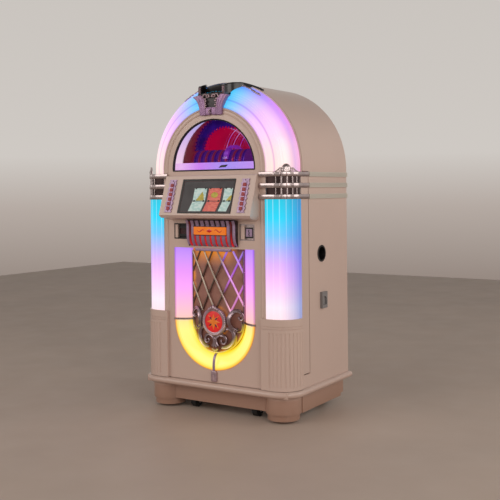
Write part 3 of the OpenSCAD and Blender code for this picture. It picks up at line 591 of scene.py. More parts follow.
for mat, nodes in (
        (CREAM, "cabinet_side_left cabinet_side_right cabinet_arch_top base_moulding base_apron "
                "door_panel door_arch door_rim plinth_left plinth_right selector_housing "
                "back_panel"),
        (PLY, "cabinet_floor mech_shelf baffle_board"),
        (ZINC, "caster_fork_fl caster_fork_fr caster_fork_rl caster_fork_rr caster_plates "
               "door_hinges"),
        (RUBBER, "caster_wheel_fl caster_wheel_fr caster_wheel_rl caster_wheel_rr"),
        (BLACK, "lock_cup amplifier woofer mains_inlet disc_rack note_acceptor"),
        (CHROME, "lock_barrel crown_left crown_right coin_bonnet tube_bands tube_tail "
                 "grille_lattice top_crest spindle coin_entry"),
        (ALU, "side_trims_left side_trims_right"), (GREY, "side_outlet"),
        (DARK_CHROME, "carriage"), (VIOLET_METAL, "gripper_arm"), (BACKDROP, "mech_backdrop"),
        (COMB, "comb_ring"), (DISC, "discs"), (GLASS, "window_glass"), (LENS_ARCH, "arch_lens"),
        (LENS_COLUMN, "column_lens_left column_lens_right"), (LENS_TUBE, "bubble_tube"),
        (SLATE, "screen"), (CHROME_LILAC, "selector_strips"), (SIGN, "sign_plate"),
        (CLOTH, "grille_cloth"), (MEDAL, "medallion"), (RED, "power_switch")):
    for node in nodes.split():
        paint(node, mat)

# --- crowns and finials

CROWN_BOT, CROWN_TOP = 980.0, 1100.0
DOOR_Y = 163.5                               # depth of the door's rear edge


def crown_path(off, flute=0.0, count=5):
    """Plan points (x, y, outward normal) from the front plate round to the side."""
    pts = []
    for i in range(7):
        pts.append((254 + i * (COL_X - 254) / 7, COL_Y - COL_R - off, Vector((0, -1, 0))))
    steps = 90
    for i in range(steps + 1):
        a = math.radians(90.0 * i / steps)
        d = abs((i / steps * count) % 1.0 - 0.5) * 18.0 * 2
        dip = flute * max(0.0, math.cos(min(1.0, d / 3.4) * math.pi / 2))
        r = COL_R + off - dip
        pts.append((COL_X + r * math.sin(a), COL_Y - r * math.cos(a),
                    Vector((math.sin(a), -math.cos(a), 0))))
    for i in range(1, 9):
        pts.append((COL_X + COL_R + off, COL_Y + i * (DOOR_Y - COL_Y) / 8, Vector((1, 0, 0))))
    return pts


def add_band(bm, m, z0, z1, off, flute, thick):
    """A wrapped band with a softened top and bottom edge."""
    pts = crown_path(off, flute)
    rows = [(z0, -1.6), (z0 + 0.7, -0.5), (z0 + 2.0, 0.0), (z1 - 2.0, 0.0), (z1 - 0.7, -0.5),
            (z1, -1.6)]
    grid = []
    for x, y, n in pts:
        col = [bm.verts.new(at(m * (x + n.x * d), y + n.y * d, z)) for z, d in rows]
        col += [bm.verts.new(at(m * (x - n.x * thick), y - n.y * thick, z)) for z in (z1, z0)]
        grid.append(col)
    skin(bm, grid, closed=True, caps=True)


def finial(m, name):
    """A ribbed half dome with a beaded rim, between two small leaf scrolls."""
    bm = bmesh.new()
    a0 = math.radians(45)
    centre = Vector((COL_X + 86 * math.sin(a0), COL_Y - 86 * math.cos(a0), CROWN_TOP))
    tangent = Vector((math.cos(a0), math.sin(a0), 0))
    normal = Vector((math.sin(a0), -math.cos(a0), 0))

    def put(s, n, h):
        p = centre + tangent * s + normal * n
        return at(m * p.x, p.y, p.z + h)

    nr, na = 8, 60
    rows = []
    for i in range(1, nr + 1):
        k = i / nr
        row = []
        for j in range(na + 1):
            t = math.pi * j / na
            rib = 1.0 + 0.16 * k * abs(math.sin(5 * t))
            out = 7.5 * math.cos(math.pi / 2 * k ** 1.7) * rib
            row.append(bm.verts.new(put(22.5 * k * math.cos(t), out - 2,
                                        33.0 * k * math.sin(t))))
        rows.append(row)
    eye = bm.verts.new(put(0, 6, 0))
    rows.append([bm.verts.new(put(s, -5, h)) for s, h in turn(0, 0, 22.5, 33, 0, 180, na)])
    skin(bm, rows)
    for p, q in zip(rows[0], rows[0][1:]):
        bm.faces.new([p, q, eye])
    bm.faces.new(rows[-1])
    for s, h in turn(0, 0, 22.6, 33, 6, 174, 14):
        bmesh.ops.create_uvsphere(bm, u_segments=8, v_segments=6, radius=2.3 * MM,
                                  matrix=Matrix.Translation(put(s, -1, h)))
    for side in (-1, 1):
        line = spline([(23, 15), (31, 13), (38, 7), (46, 2), (52, 0.5)], 24)
        add_sweep(bm, [put(side * s, 0, h) for s, h in line], circle_section(3.6, 10),
                  scale=taper(1.2, 0.5, 24))
        curl = []
        for i in range(23):
            t = 2 * math.pi * 1.2 * i / 22
            r = 6.5 - 4.2 * i / 22
            curl.append(put(side * (31 + r * math.cos(t)), 2, 6.5 + r * math.sin(t)))
        add_sweep(bm, curl, circle_section(2.3, 8), scale=taper(1.0, 0.6, 22))
    piece(name, bm, CHROME, "chrome_trim")


for m, side in ((1, "right"), (-1, "left")):
    bm = bmesh.new()
    for z in (CROWN_BOT, CROWN_BOT + 49.5, CROWN_TOP - 21):
        add_band(bm, m, z, z + 21, 5.8, 2.6, 7.5)
    piece(f"crown_bands_{side}", bm, CHROME, "chrome_trim",
          replaces=(f"crown_{side}",))
    bm = bmesh.new()
    core = [at(m * (COL_X + 85.6 * math.sin(math.radians(a))),
               COL_Y - 85.6 * math.cos(math.radians(a)), 0) for a in range(-20, 103, 3)]
    cols = [[bm.verts.new(p + Vector((0, 0, z * MM))) for z in (CROWN_BOT + 1, CROWN_TOP - 1)]
            for p in core]
    skin(bm, cols)
    piece(f"crown_core_{side}", bm, SMOKE, "black_plastic")
    bm = bmesh.new()
    for a, w in ((14, 5), (30, 9), (47, 8), (64, 7), (80, 6)):
        mid = math.radians(a)
        r = COL_R - 1.0
        x, y = COL_X + r * math.sin(mid), COL_Y - r * math.cos(mid)
        n = Vector((m * math.sin(mid), -math.cos(mid), 0))
        add_sweep(bm, [at(m * x, y, CROWN_BOT + 2), at(m * x, y, CROWN_TOP - 2)],
                  round_section(w, 3.6, 8), up=n)
    piece(f"crown_posts_{side}", bm, CHROME, "chrome_trim")
    bm = bmesh.new()
    lid = [v for v in crown_path(3.2) if v[0] > 282]
    inner = [v for v in crown_path(-24.0) if v[0] > 282]
    rings = []
    for (xo, yo, _), (xi, yi, _) in zip(lid, inner):
        if yo > 99:
            break
        rings.append([bm.verts.new(at(m * x, y, z)) for x, y, z in (
            (xo, yo, CROWN_TOP - 1.6), (xo, yo, CROWN_TOP), (xi, yi, CROWN_TOP),
            (xi, yi, CROWN_TOP - 1.6))])
    skin(bm, rings, closed=True, caps=True)
    piece(f"crown_ledge_{side}", bm, DARK_CHROME, "chrome_trim", smooth=False)
    finial(m, f"finial_{side}")

# raised double bead along the inner edge of the lenses
bm = bmesh.new()
BEAD = [(-13, -0.5), (-12.6, 2.2), (-9.5, 3.4), (-6.4, 2.2), (-5.2, 0.9), (2.5, 0.9), (4.2, 2.6),
        (8.0, 4.2), (11.6, 2.6), (12.6, -0.5)]
hoop = [at(268, 0, 1104)] + arc(0, SPRING, 268, 0, 180, 72, 0) + [at(-268, 0, 1104)]
for part in (hoop[:36], hoop[39:]):
    add_sweep(bm, part, BEAD)
for m in (-1, 1):
    add_sweep(bm, [at(m * 268, 0, 462), at(m * 268, 0, 976)],
              BEAD if m < 0 else [(-a, b) for a, b in reversed(BEAD)])
piece("front_margin_bead", bm, CREAM, "cream_paint")

# --- window

WIN_R, WIN_Z = 228.0, 1110.0
bm = bmesh.new()
loop = arc(0, SPRING, WIN_R - 2.5, 0, 180, 60, 2)
loop += [at(-(WIN_R - 2.5), 2, WIN_Z + 3), at((WIN_R - 2.5), 2, WIN_Z + 3)]
add_sweep(bm, loop, [(-3.5, 0), (-3.0, 3.0), (0, 4.2), (3.0, 3.0), (3.5, 0), (3.5, -9),
                     (-3.5, -9)], closed=True)
piece("window_gasket", bm, RUBBER, "black_plastic")

bm = bmesh.new()
hoop = turn(0, SPRING, 256.3, 256.3, 0, 180, 60)
hoop = [(256.3, WIN_Z - 10)] + hoop + [(-256.3, WIN_Z - 10)]
skin(bm, [[bm.verts.new(at(x * k, y, SPRING + (z - SPRING) * k))
           for k, y in ((0.994, 17), (0.994, 109), (1, 109), (1, 17))] for x, z in hoop],
     closed=True)
piece("window_reveal", bm, LIT_REVEAL, "lit_lens")

box_piece("window_sill_light", LIT_SILL, "lit_lens", (-252, 252, 19, 27, WIN_Z - 8, 1149),
          (-252, 252, 27, 109, 1141, 1149), bevel=1.5)
bm = bmesh.new()
add_prism(bm, [(20, 1124), (58, 1126), (72, 1137), (34, 1135)], 17.6, 19.4)
piece("sill_badge", bm, BLACK, "black_plastic", smooth=False)

# --- mechanism behind the glass

bm = bmesh.new()
for k, (x0, z0, x1, z1, bow) in enumerate((
        (-150, 1222, -30, 1345, 18), (-118, 1222, 0, 1330, 18), (-80, 1222, 30, 1312, 18),
        (-140, 1330, -20, 1226, -14), (-90, 1345, 40, 1236, -14), (-40, 1350, 70, 1250, -14))):
    path = []
    for i in range(25):
        t = i / 24
        path.append(at(x0 + (x1 - x0) * t - bow * math.sin(math.pi * t), 330 + 6 * k,
                       z0 + (z1 - z0) * t + abs(bow) * math.sin(math.pi * t)))
    add_sweep(bm, path, circle_section(1.7 if k < 3 else 1.3, 8))
for x in (-150, 30):
    add_boxes(bm, (x - 2, x + 2, 326, 372, 1221, 1225))
piece("mechanism_wires", bm, WIRE, "chrome_trim", "cabinet")

bm = bmesh.new()
add_prism(bm, [(-46, 1176), (-2, 1176), (-24, 1212)], 208, 222, crown=3)
piece("gripper_fin", bm, VIOLET_METAL, "chrome_trim", "gripper", smooth=False, bevel=1)

# --- selector

SEL_TOP, SEL_DROP, SEL_RUN = 1087.0, 177.0, 60.0
SLOPE = (Matrix.Translation(at(0, -20, SEL_TOP))
         @ Matrix.Rotation(-math.atan(SEL_RUN / SEL_DROP), 4, "X"))


def on_slope(x, out, down):
    """A point on the slanted face: across, out of it and down it, in mm."""
    return SLOPE @ Vector((x * MM, -out * MM, -down * MM))


box_piece("screen_bezel", BLACK, "black_plastic",
          (-146, 146, -1, 2.6, 15.5, 25), (-146, 146, -1, 2.6, 170, 178),
          (-146, -135, -1, 2.6, 25, 170), (138, 146, -1, 2.6, 25, 170),
          place=on_slope, bevel=1.0)
box_piece("screen_red_line", MAROON, "black_plastic",
          (-135, 138, 0.6, 1.6, 25, 27), (-135, 138, 0.6, 1.6, 168, 170),
          (-135, -133, 0.6, 1.6, 27, 168), (136, 138, 0.6, 1.6, 27, 168), place=on_slope)


def card_material(name, a, b, c):
    """A lit card: two wandering tones with rows of paler marks."""
    return glow(name, lambda nt: mix(nt, noise(nt, 46.0, 3.0, (1, 1, 2.4)).span(0.42, 0.58) * 0.8,
                                     patchy(16.0, a, b)(nt), rgba(c)), 0.42, rough=0.25)


CARD_TEAL = card_material("pale_teal_card", (150, 196, 190), (186, 220, 212), (214, 232, 224))
CARD_RED = card_material("vermilion_card", (196, 40, 14), (222, 58, 26), (236, 96, 60))
CARD_GOLD = solid("gold_print", (190, 176, 50), 0.35, vary=0.1, scale=60.0)


def slanted_card(bm, x0, x1, d0, d1, shift=0.0):
    """A card on the slope; its lower edge is moved sideways by shift."""
    vs = [bm.verts.new(on_slope(x + sx, o, d)) for o in (1.0, 2.0)
          for x, sx, d in ((x0, 0, d0), (x1, 0, d0), (x1, shift, d1), (x0, shift, d1))]
    skin(bm, [vs[:4], vs[4:]], closed=True, caps=True)


cards = bmesh.new()
reds = bmesh.new()
gold = bmesh.new()
clips = bmesh.new()
for i, (x0, x1) in enumerate(((-70, -2), (10, 80), (94, 138))):
    target = reds if i == 1 else cards
    slanted_card(target, x0, x1, 60, 119)
    slanted_card(target, x0, x1, 122, 168, -16.0)
    for x in (x0 + 8, x1 - 8):
        for d in (60, 120):
            add_boxes(clips, (x - 4, x + 4, 0.6, 3.0, d - 4, d + 4), place=on_slope)
for pts in (((-54, 118), (-8, 118), (-14, 92), (-24, 76), (-40, 100)),
            ((112, 118), (138, 118), (138, 92), (126, 100))):
    skin(gold, [[gold.verts.new(on_slope(x, o, d)) for x, d in pts] for o in (2.0, 2.6)],
         closed=True, caps=True)
skin(gold, [[gold.verts.new(on_slope(x, o, d)) for x, d in turn(45, 92, w, h, 0, 360, 20)[:-1]]
            for o, w, h in ((2.0, 19, 13), (2.7, 16.34, 10.4))], closed=True, caps=True)
piece("title_cards_teal", cards, CARD_TEAL, "dark_glass", smooth=False)
piece("title_cards_red", reds, CARD_RED, "dark_glass", smooth=False)
piece("title_card_print", gold, CARD_GOLD, "dark_glass", smooth=False)
piece("title_card_clips", clips, BLACK, "black_plastic", smooth=False)

STRIP_X, KEY_HALF = 200, 8                   # place of the key strips, half a key's side
box_piece("selector_keys", KEY, "red_plastic", *(
    (m * STRIP_X - KEY_HALF, m * STRIP_X + KEY_HALF, 4.5, 10.5, d - KEY_HALF, d + KEY_HALF)
    for m in (-1, 1) for d in range(46, 157, 22)), place=on_slope, bevel=2.0)
bm = bmesh.new()
for m in (-1, 1):
    for d in (24, 168):
        bmesh.ops.create_uvsphere(bm, u_segments=12, v_segments=6, radius=2.6 * MM,
                                  matrix=Matrix.Translation(on_slope(m * STRIP_X, 5, d)))
piece("strip_rivets", bm, DARK_CHROME, "chrome_trim")

# --- coin bonnet

def bonnet_path(off, top=886.0, low=770.0, n=22):
    """Side line of the bonnet, from the top down and under."""
    pts = []
    for i in range(n + 1):
        z = top + (low - top) * i / n
        k = max(0.0, (824 - z) / 54.0)
        y = -22.0 + 24.0 * (1 - math.sqrt(max(0.0, 1 - k * k))) if z < 824 else -22.0
        if z > 866:
            y -= (z - 866) * 0.45
        pts.append((y - off, z))
    return pts


bm = bmesh.new()
shell = bonnet_path(0.0) + [(0.0, 770.0), (0.0, 886.0)]
skin(bm, [[bm.verts.new(at(x, y, z)) for y, z in shell] for x in (-134.5, 134.5)],
     closed=True, caps=True)
piece("bonnet_shell", bm, SMOKE, "chrome_trim", replaces=("coin_bonnet",))

# wide grooved ribs, each between two slots; a red insert lies in every slot below the sign
PITCH = 28.6
RIB = [(-9.6, 0), (-9.2, 3.2), (-6.6, 4.6), (-4.0, 3.4), (-3.2, 4.4), (0, 5.2), (3.2, 4.4),
       (4.0, 3.4), (6.6, 4.6), (9.2, 3.2), (9.6, 0)]
bm = bmesh.new()
for i in range(-4, 4):
    x = (i + 0.5) * PITCH
    wide = [(p[0] * (0.86 if abs(x) > 90 else 1.0), p[1]) for p in RIB]
    path = [at(x * (0.985 if abs(x) > 90 else 1.0), y, z) for y, z in bonnet_path(0.0)]
    add_sweep(bm, path, wide, up=Vector((0, -1, -0.25)))
for m in (-1, 1):
    path = [at(m * 127.0, y, z) for y, z in bonnet_path(0.0)]
    add_sweep(bm, path, round_section(15.0, 4.6, 10), up=Vector((0, -1, -0.25)))
piece("bonnet_ribs", bm, CHROME_LILAC, "chrome_trim")

bm = bmesh.new()
for m in (-1, 1):
    side = bonnet_path(-1.0)
    for t in range(3):
        line = [at(m * 134.6, y * (0.25 + 0.3 * t) - 1, z) for y, z in side]
        add_sweep(bm, line, round_section(3.4, 1.6, 6), up=Vector((m, 0, 0)))
    add_ball(bm, m * 127, -10, 771, 4.0)
piece("bonnet_side_beads", bm, DARK_CHROME, "chrome_trim")

bm = bmesh.new()
for i in range(-3, 4):
    pts = bonnet_path(0.0, 818.0, 772.0, 14)
    add_sweep(bm, [at(i * PITCH, y, z) for y, z in pts], round_section(7.6, 6.2, 8),
              up=Vector((0, -1, -0.3)), scale=[0.5, 0.85] + [1.0] * 13)
piece("bonnet_red_inserts", bm, INSERT, "red_plastic")
bm = bmesh.new()
for m in (-1, 1):
    pts = bonnet_path(0.0, 880.0, 772.0, 24)
    add_sweep(bm, [at(m * 113.5, y, z) for y, z in pts], round_section(8.2, 6.4, 8),
              up=Vector((0, -1, -0.2)))
piece("bonnet_long_inserts", bm, INSERT_FADE, "red_plastic")

bm = bmesh.new()
outline = [(-86, 820), (86, 820), (88, 822), (88, 855), (86, 857), (-86, 857), (-88, 855),
           (-88, 822)]
add_prism(bm, outline, -31.5, -22)
piece("amber_sign", bm, SIGN, "orange_plastic", smooth=False, bevel=1.2,
      replaces=("sign_plate",))
box_piece("sign_edging", DARK_CHROME, "chrome_trim", (-88.6, 88.6, -32.6, -22, 856.2, 859.4),
          (-88.6, 88.6, -32.6, -22, 817.6, 820.6), bevel=0.8)
bm = bmesh.new()
for m in (-1, 1):
    path, sc = [], []
    for i in range(25):
        t = i / 24
        path.append(at(m * (26 + 44 * t), -31.3, 838.5 + 5 * math.sin(2.2 * math.pi * t)))
        sc.append(0.3 + math.sin(math.pi * t))
    add_sweep(bm, path, round_section(4.0, 1.2, 6), scale=sc)
add_prism(bm, [(-17, 838.5), (0, 830), (17, 838.5), (0, 847)], -32.4, -31.0, crown=1.0)
piece("sign_ornament", bm, RED, "red_plastic")

box_piece("grille_top_rail", CHROME_LILAC, "chrome_trim", (-97.5, 97.5, -9, 6, 744.5, 757),
          bevel=3.0)

# --- note and coin units

box_piece("recess_reveals", CREAM, "cream_paint", (-216.9, -203, 0.6, 13.9, 803.2, 863.8),
          (149.1, 168, 0.6, 8.0, 803.2, 863.8))
box_piece("note_bezel", BLACK, "black_plastic", (-201, -153, 9.0, 14.6, 808, 820),
          (-201, -153, 9.0, 14.6, 846, 859), (-201, -196, 9.0, 14.6, 820, 846), bevel=0.8)
box_piece("note_mouth", MAROON, "black_plastic", *(
    (-196, -153, 11.6 + 0.6 * (k % 2), 14.4, 820 + 5.2 * k, 825.2 + 5.2 * k)
    for k in range(5)))
box_piece("coin_frame", BLACK, "black_plastic", (169, 209, 6.0, 8.2, 808, 814),
          (169, 209, 6.0, 8.2, 849, 855), (169, 173, 6.0, 8.2, 814, 849),
          (206, 209, 6.0, 8.2, 814, 849), bevel=0.5)
box_piece("coin_plate", CHROME_LILAC, "chrome_trim", (173, 206, 5.4, 8.0, 814, 849), bevel=1.2)
bm = bmesh.new()
wave = [at(x, 5.2, z) for x, z in spline([(191, 844), (187, 838), (191, 831), (188, 824),
                                          (192, 818)], 24)]
add_sweep(bm, wave, round_section(3.6, 1.6, 8))
piece("coin_slot_line", bm, BLACK_GLOSS, "black_plastic")

# --- grille

bm_a, bm_b = bmesh.new(), bmesh.new()
LAT_X, LAT_Z, ROW = 38.6, 74.5, 548.0
slope = LAT_X / LAT_Z
HALF = 141.0
FLAT_BAR = [(-4.0, -3), (-4.0, 0.6), (-2.6, 2.4), (2.6, 2.4), (4.0, 0.6), (4.0, -3)]
for s, target in ((-1, bm_a), (1, bm_b)):
    for k in range(-9, 10):
        path = []
        for i in range(141):
            z = 470 + (745 - 470) * i / 140
            x = LAT_X + 2 * LAT_X * k + s * slope * (z - ROW)
            ok = abs(x) < HALF and math.hypot(x, z - MEDAL_Z) > 60 and z > 474 - 0.08 * abs(x)
            if ok:
                path.append(at(x, grille_y(x, 0.0 if s > 0 else 0.8), z))
            elif path:
                if len(path) > 2:
                    add_sweep(target, path, FLAT_BAR)
                path = []
        if len(path) > 2:
            add_sweep(target, path, FLAT_BAR)
# the two slants of bars take the painted-lit and the painted-shade copies of the chrome
piece("lattice_bars_left", bm_a, BAR_PAINTED_LIT, "chrome_trim", replaces=("grille_lattice",))
piece("lattice_bars_right", bm_b, BAR_PAINTED_SHADE, "chrome_trim")

bm = bmesh.new()
rim = [at(-HALF, grille_y(HALF, 2), 744 - 40 * i) for i in range(8)]
rim += [at(x, grille_y(x, 2), z) for x, z in turn(0, MEDAL_Z, HALF, HALF, 180, 360, 64)]
rim += [at(HALF, grille_y(HALF, 2), 464 + 40 * i) for i in range(8)]
add_sweep(bm, rim, [(-2.5, -6), (-2.5, 1), (0, 2.6), (2.5, 1), (2.5, -6)])
piece("grille_edge_strip", bm, SCROLL, "chrome_trim")

# medallion: ribbed rim with a leaf crest, red dome, star with four slots
bm = bmesh.new()
rows = []
for i in range(193):
    a = 2 * math.pi * i / 192
    rib = 0.5 + 0.5 * math.cos(48 * a)
    row = []
    for r, y in ((48.2, 8), (48.2, -5.0), (50.5, -6.4), (53.0, -5.6 - 0.8 * rib),
                 (58.0, -6.6 - 1.6 * rib), (61.5 + 0.8 * rib, -4.5 - 1.6 * rib),
                 (64.0 + 1.6 * rib, 0.5), (63.5 + 1.4 * rib, 12)):
        row.append((r * math.cos(a), y, MEDAL_Z + r * math.sin(a)))
    rows.append([bm.verts.new(at(*p)) for p in row])
skin(bm, rows, closed=True)
bmesh.ops.remove_doubles(bm, verts=bm.verts, dist=0.00001)
for x, z, r, tip in ((0, 486, 8.0, 504), (-12, 484, 7.0, 497), (12, 484, 7.0, 497),
                     (-22, 480, 6.0, 490), (22, 480, 6.0, 490)):
    leaf = [at(x + (tip - z) * 0.02 * x / 12, y, zz) for zz, y in spline(
        [(z - 8, -4), (z, -7.5), (z + (tip - z) * 0.6, -7), (tip, -3)], 12)]
    add_sweep(bm, leaf, round_section(2 * r, 5.0, 8),
              scale=[0.6 + 0.4 * math.sin(math.pi * min(1.0, i / 6) / 2) if i < 5
                     else max(0.12, 1.0 - (i - 5) / 7.6) for i in range(13)])
piece("medallion_rim", bm, CAST_CHROME, "chrome_trim")

bm = bmesh.new()
add_prism(bm, turn(0, MEDAL_Z, 48.4, 48.4, 0, 360, 64)[:-1], -2, 11, crown=4.0)
piece("medallion_dome", bm, MEDAL, "red_plastic", replaces=("medallion",))
bm = bmesh.new()
points = []
for i in range(16):
    r = 17.5 if i % 2 else (37.0 if i % 4 == 0 else 41.0)
    a = math.radians(90 + 22.5 * i)
    points.append((r * math.cos(a), MEDAL_Z + r * math.sin(a)))
add_prism(bm, points, -5.6, 4, crown=1.6)
piece("medallion_star", bm, STAR, "orange_plastic", smooth=False)
bm = bmesh.new()
for a in (42, 132, 222, 312):
    t = math.radians(a)
    u, v = (math.cos(t), math.sin(t)), (-math.sin(t), math.cos(t))
    slot = []
    for along, side in ((14, -1.6), (14, 1.6), (22, 3.2), (30, 1.0), (30, -1.0), (22, -3.2)):
        slot.append((u[0] * along + v[0] * side, MEDAL_Z + u[1] * along + v[1] * side))
    add_prism(bm, slot, -7.9, 2)
piece("medallion_darts", bm, SLOT_NAVY, "black_plastic", smooth=False)


# cast leaf scrolls round the medallion
def band_section(w, deep):
    return [(-w / 2, -deep), (-w / 2, -0.4), (-w * 0.36, 1.5), (-w * 0.12, 0.3), (w * 0.12, 0.3),
            (w * 0.36, 1.5), (w / 2, -0.4), (w / 2, -deep)]


def add_scroll(bm, m, line, w, proud, widths=(1.0, 1.0), deep=9.0, n=56):
    """A grooved band along points (x, z[, proud]), standing proud of the grille."""
    pts = spline([(p[0], p[1], p[2] if len(p) > 2 else proud) for p in line], n)
    path, sc = [], []
    for i, (x, z, out) in enumerate(pts):
        x = min(138.5, x)
        path.append(at(m * x, grille_y(x, out), z))
        t = i / n
        sc.append(widths[0] + (widths[1] - widths[0]) * t if len(widths) == 2
                  else widths[0] + (widths[1] - widths[0]) * min(1, 2 * t)
                  + (widths[2] - widths[1]) * max(0, 2 * t - 1))
    add_sweep(bm, path, band_section(w, deep), scale=sc)


bm = bmesh.new()
for m in (-1, 1):
    # the large C beside the medallion, with a hook at its head and a loop at its foot
    add_scroll(bm, m, [(126, 474, 6), (113, 479, 9), (98, 475, 14), (86, 461, 20), (80, 444, 23),
                       (80, 424, 22), (86, 406, 16), (96, 393, 10), (108, 385, 6)], 21, 0,
               (0.7, 1.0, 0.75), deep=10)
    add_scroll(bm, m, [(113, 478, 7), (129, 470, 6), (138, 457, 5), (137, 445, 5), (129, 439, 5),
                       (119, 443, 5), (117, 453, 5)], 11, 0, (1.0, 1.0, 0.6))
    add_scroll(bm, m, [(132, 430), (134, 408), (130, 390), (118, 382), (105, 385), (101, 393),
                       (108, 399), (117, 394)], 5, 4, (0.7, 1.2, 0.9), deep=6)
    # the hook below it and the spiral inside the hook
    add_scroll(bm, m, [(48, 381), (54, 391), (67, 397), (81, 391), (91, 376), (94, 357),
                       (88, 337), (74, 320), (55, 311), (36, 311)], 17, 7, (0.5, 1.1, 0.8))
    add_scroll(bm, m, [(12, 312), (4, 328), (4, 348), (15, 362), (31, 367), (47, 362), (57, 350),
                       (57, 338), (49, 329), (38, 331), (32, 340), (38, 347)], 12, 7,
               (1.6, 1.0, 0.55))
    add_scroll(bm, m, [(100, 381), (105, 360), (103, 339), (95, 320)], 4, 4, (0.8, 1.0), deep=6)
    for x, z, r in ((85, 404, 4.4), (92, 398, 4.8), (100, 392, 4.4), (108, 394, 4.0),
                    (122, 447, 4.6), (131, 457, 4.2)):
        add_ball(bm, m * x, grille_y(x, 10), z, r)
for i in range(5):
    a = math.radians(200 + 35 * i)
    add_ball(bm, 13 * math.cos(a), grille_y(0, 6), 303 + 9 * math.sin(a), 5.0)
piece("grille_scrolls", bm, SCROLL, "chrome_trim")

# strap and key below the tube
bm = bmesh.new()
line = spline([(292, 26), (284, 18), (274, 7), (262, -1), (248, -5.5), (230, -7.5), (212, -7.5),
               (203, -7)], 40)
add_sweep(bm, [at(0, y, z) for z, y in line], [(-6, -3), (-6, 0.6), (-4, 2), (4, 2), (6, 0.6),
                                               (6, -3)],
          scale=[1.5 - 0.5 * min(1.0, i / 9) for i in range(41)])
piece("tail_strap", bm, CHROME_LILAC, "chrome_trim", replaces=("tube_tail",))
bm = bmesh.new()
add_prism(bm, [(-13, 154), (13, 154), (15, 158), (15, 196), (10, 203), (-10, 203), (-15, 196),
               (-15, 158)], -7.5, 0, crown=2.0)
for z in (163, 172, 181):
    add_ball(bm, 0, -8.4, z, 3.4, 0.7)
piece("tail_key", bm, CAST_CHROME, "chrome_trim", smooth=False)

# --- crest

def lens_r(y):
    """Radius of the arch lens, or of the arch behind it, at depth y."""
    if y >= 105:
        return 401.6
    return ARCH_C + math.sqrt(ARCH_R ** 2 - (ARCH_CY - max(0.0, y)) ** 2)


def on_lens(theta, y, lift=0.0):
    """A point and an outward direction on the arch lens; theta runs from the crown."""
    a = math.radians(theta)
    r = lens_r(y)
    nr, ny = (r - ARCH_C) / ARCH_R, (y - ARCH_CY) / ARCH_R
    up = Vector((nr * math.sin(a), ny, nr * math.cos(a))).normalized()
    return at(r * math.sin(a), y, SPRING + r * math.cos(a)) + up * (lift * MM), up


# frame of the keystone: two flared legs with a foot tip each
bm = bmesh.new()
for m in (-1, 1):
    leg = [(60, 1362), (61.5, 1380), (65, 1400), (73, 1422), (83, 1437), (99, 1449), (84, 1452),
           (72, 1455), (56, 1456), (44, 1448), (36, 1436), (33, 1420), (31, 1396), (30, 1380),
           (30, 1362)]
    add_prism(bm, [(m * x, z) for x, z in leg], -12.5, 9)
    block = [(29.5, 1363), (29.5, 1390), (26, 1393), (7, 1393), (4, 1390), (4, 1366), (7, 1363)]
    add_prism(bm, [(m * x, z) for x, z in block], -11.5, 1.5, crown=1.2)
add_prism(bm, [(-31, 1390), (31, 1390), (31, 1398), (-31, 1398)], -8, 1.5)
piece("crest_keystone", bm, MAUVE, "chrome_trim", smooth=False, bevel=1.6,
      replaces=("top_crest",))

bm = bmesh.new()
add_prism(bm, [(-31, 1388), (31, 1388), (36, 1425), (44, 1452), (-44, 1452), (-36, 1425)], -2.5, 8)
piece("crest_recess", bm, SLATE, "black_plastic", smooth=False)

# ribs on the legs, leaves on their inner sides and scrolls along the top
bm = bmesh.new()
ribs = bmesh.new()
for m in (-1, 1):
    for line in ([(36, 1364), (38, 1392), (42, 1420), (52, 1447), (60, 1453)],
                 [(46, 1364), (48, 1390), (54, 1416), (66, 1438), (78, 1450)],
                 [(56, 1364), (57.5, 1384), (62, 1404), (71, 1424), (84, 1440), (95, 1447)]):
        path = [at(m * x, -12.0, z) for x, z in spline(line, 26)]
        add_sweep(ribs, path, round_section(7.0, 2.2, 8),
                  scale=taper(1.0, 0.7, 26))
    for i in range(5):
        add_ball(bm, m * (31 - (i % 2) * 4), -9 - (i % 2) * 4, 1398 + 9.5 * i, 5.2)
    curl = []
    for i in range(34):
        t = i / 33
        r = 10.5 - 7.0 * t
        a = math.radians(215) - 2 * math.pi * 1.25 * t
        curl.append(at(m * (17 + r * math.cos(a)), -12 + 3 * t, 1448 + r * 0.8 * math.sin(a)))
    add_sweep(bm, curl, circle_section(3.4, 8), scale=taper(1.1, 0.65, 33))
    hook = [at(m * x, -11, z) for x, z in spline([(46, 1440), (40, 1452), (31, 1458), (24, 1452)],
                                                  18)]
    add_sweep(bm, hook, circle_section(3.6, 8), scale=taper(1.2, 0.7, 18))
eye = arc(-3, 1378, 7, 60, 330, 20, -13)
add_sweep(bm, eye, circle_section(2.6, 8))
piece("crest_scrolls", bm, CAST_CHROME, "chrome_trim")
piece("crest_leg_ribs", ribs, MAUVE, "chrome_trim")

bm = bmesh.new()
for m in (-1, 1):
    post = [(58, 1450), (72, 1450), (72, 1491), (69, 1494), (61, 1494), (58, 1491)]
    add_prism(bm, [(m * x, z) for x, z in post], -6, 4, crown=2.5)
    add_ball(bm, m * 66, -7, 1457, 6.5)
piece("crest_posts", bm, DARK_CHROME, "chrome_trim", smooth=False, bevel=1.2)

# black fins swept back from the posts, over the lens and on to the arch
def fin_top(y):
    if y < 58:
        return 386 + 16.5 * max(0.0, y) / 58
    return min(409.6, 402.5 + 7.5 * (y - 58) / 38)


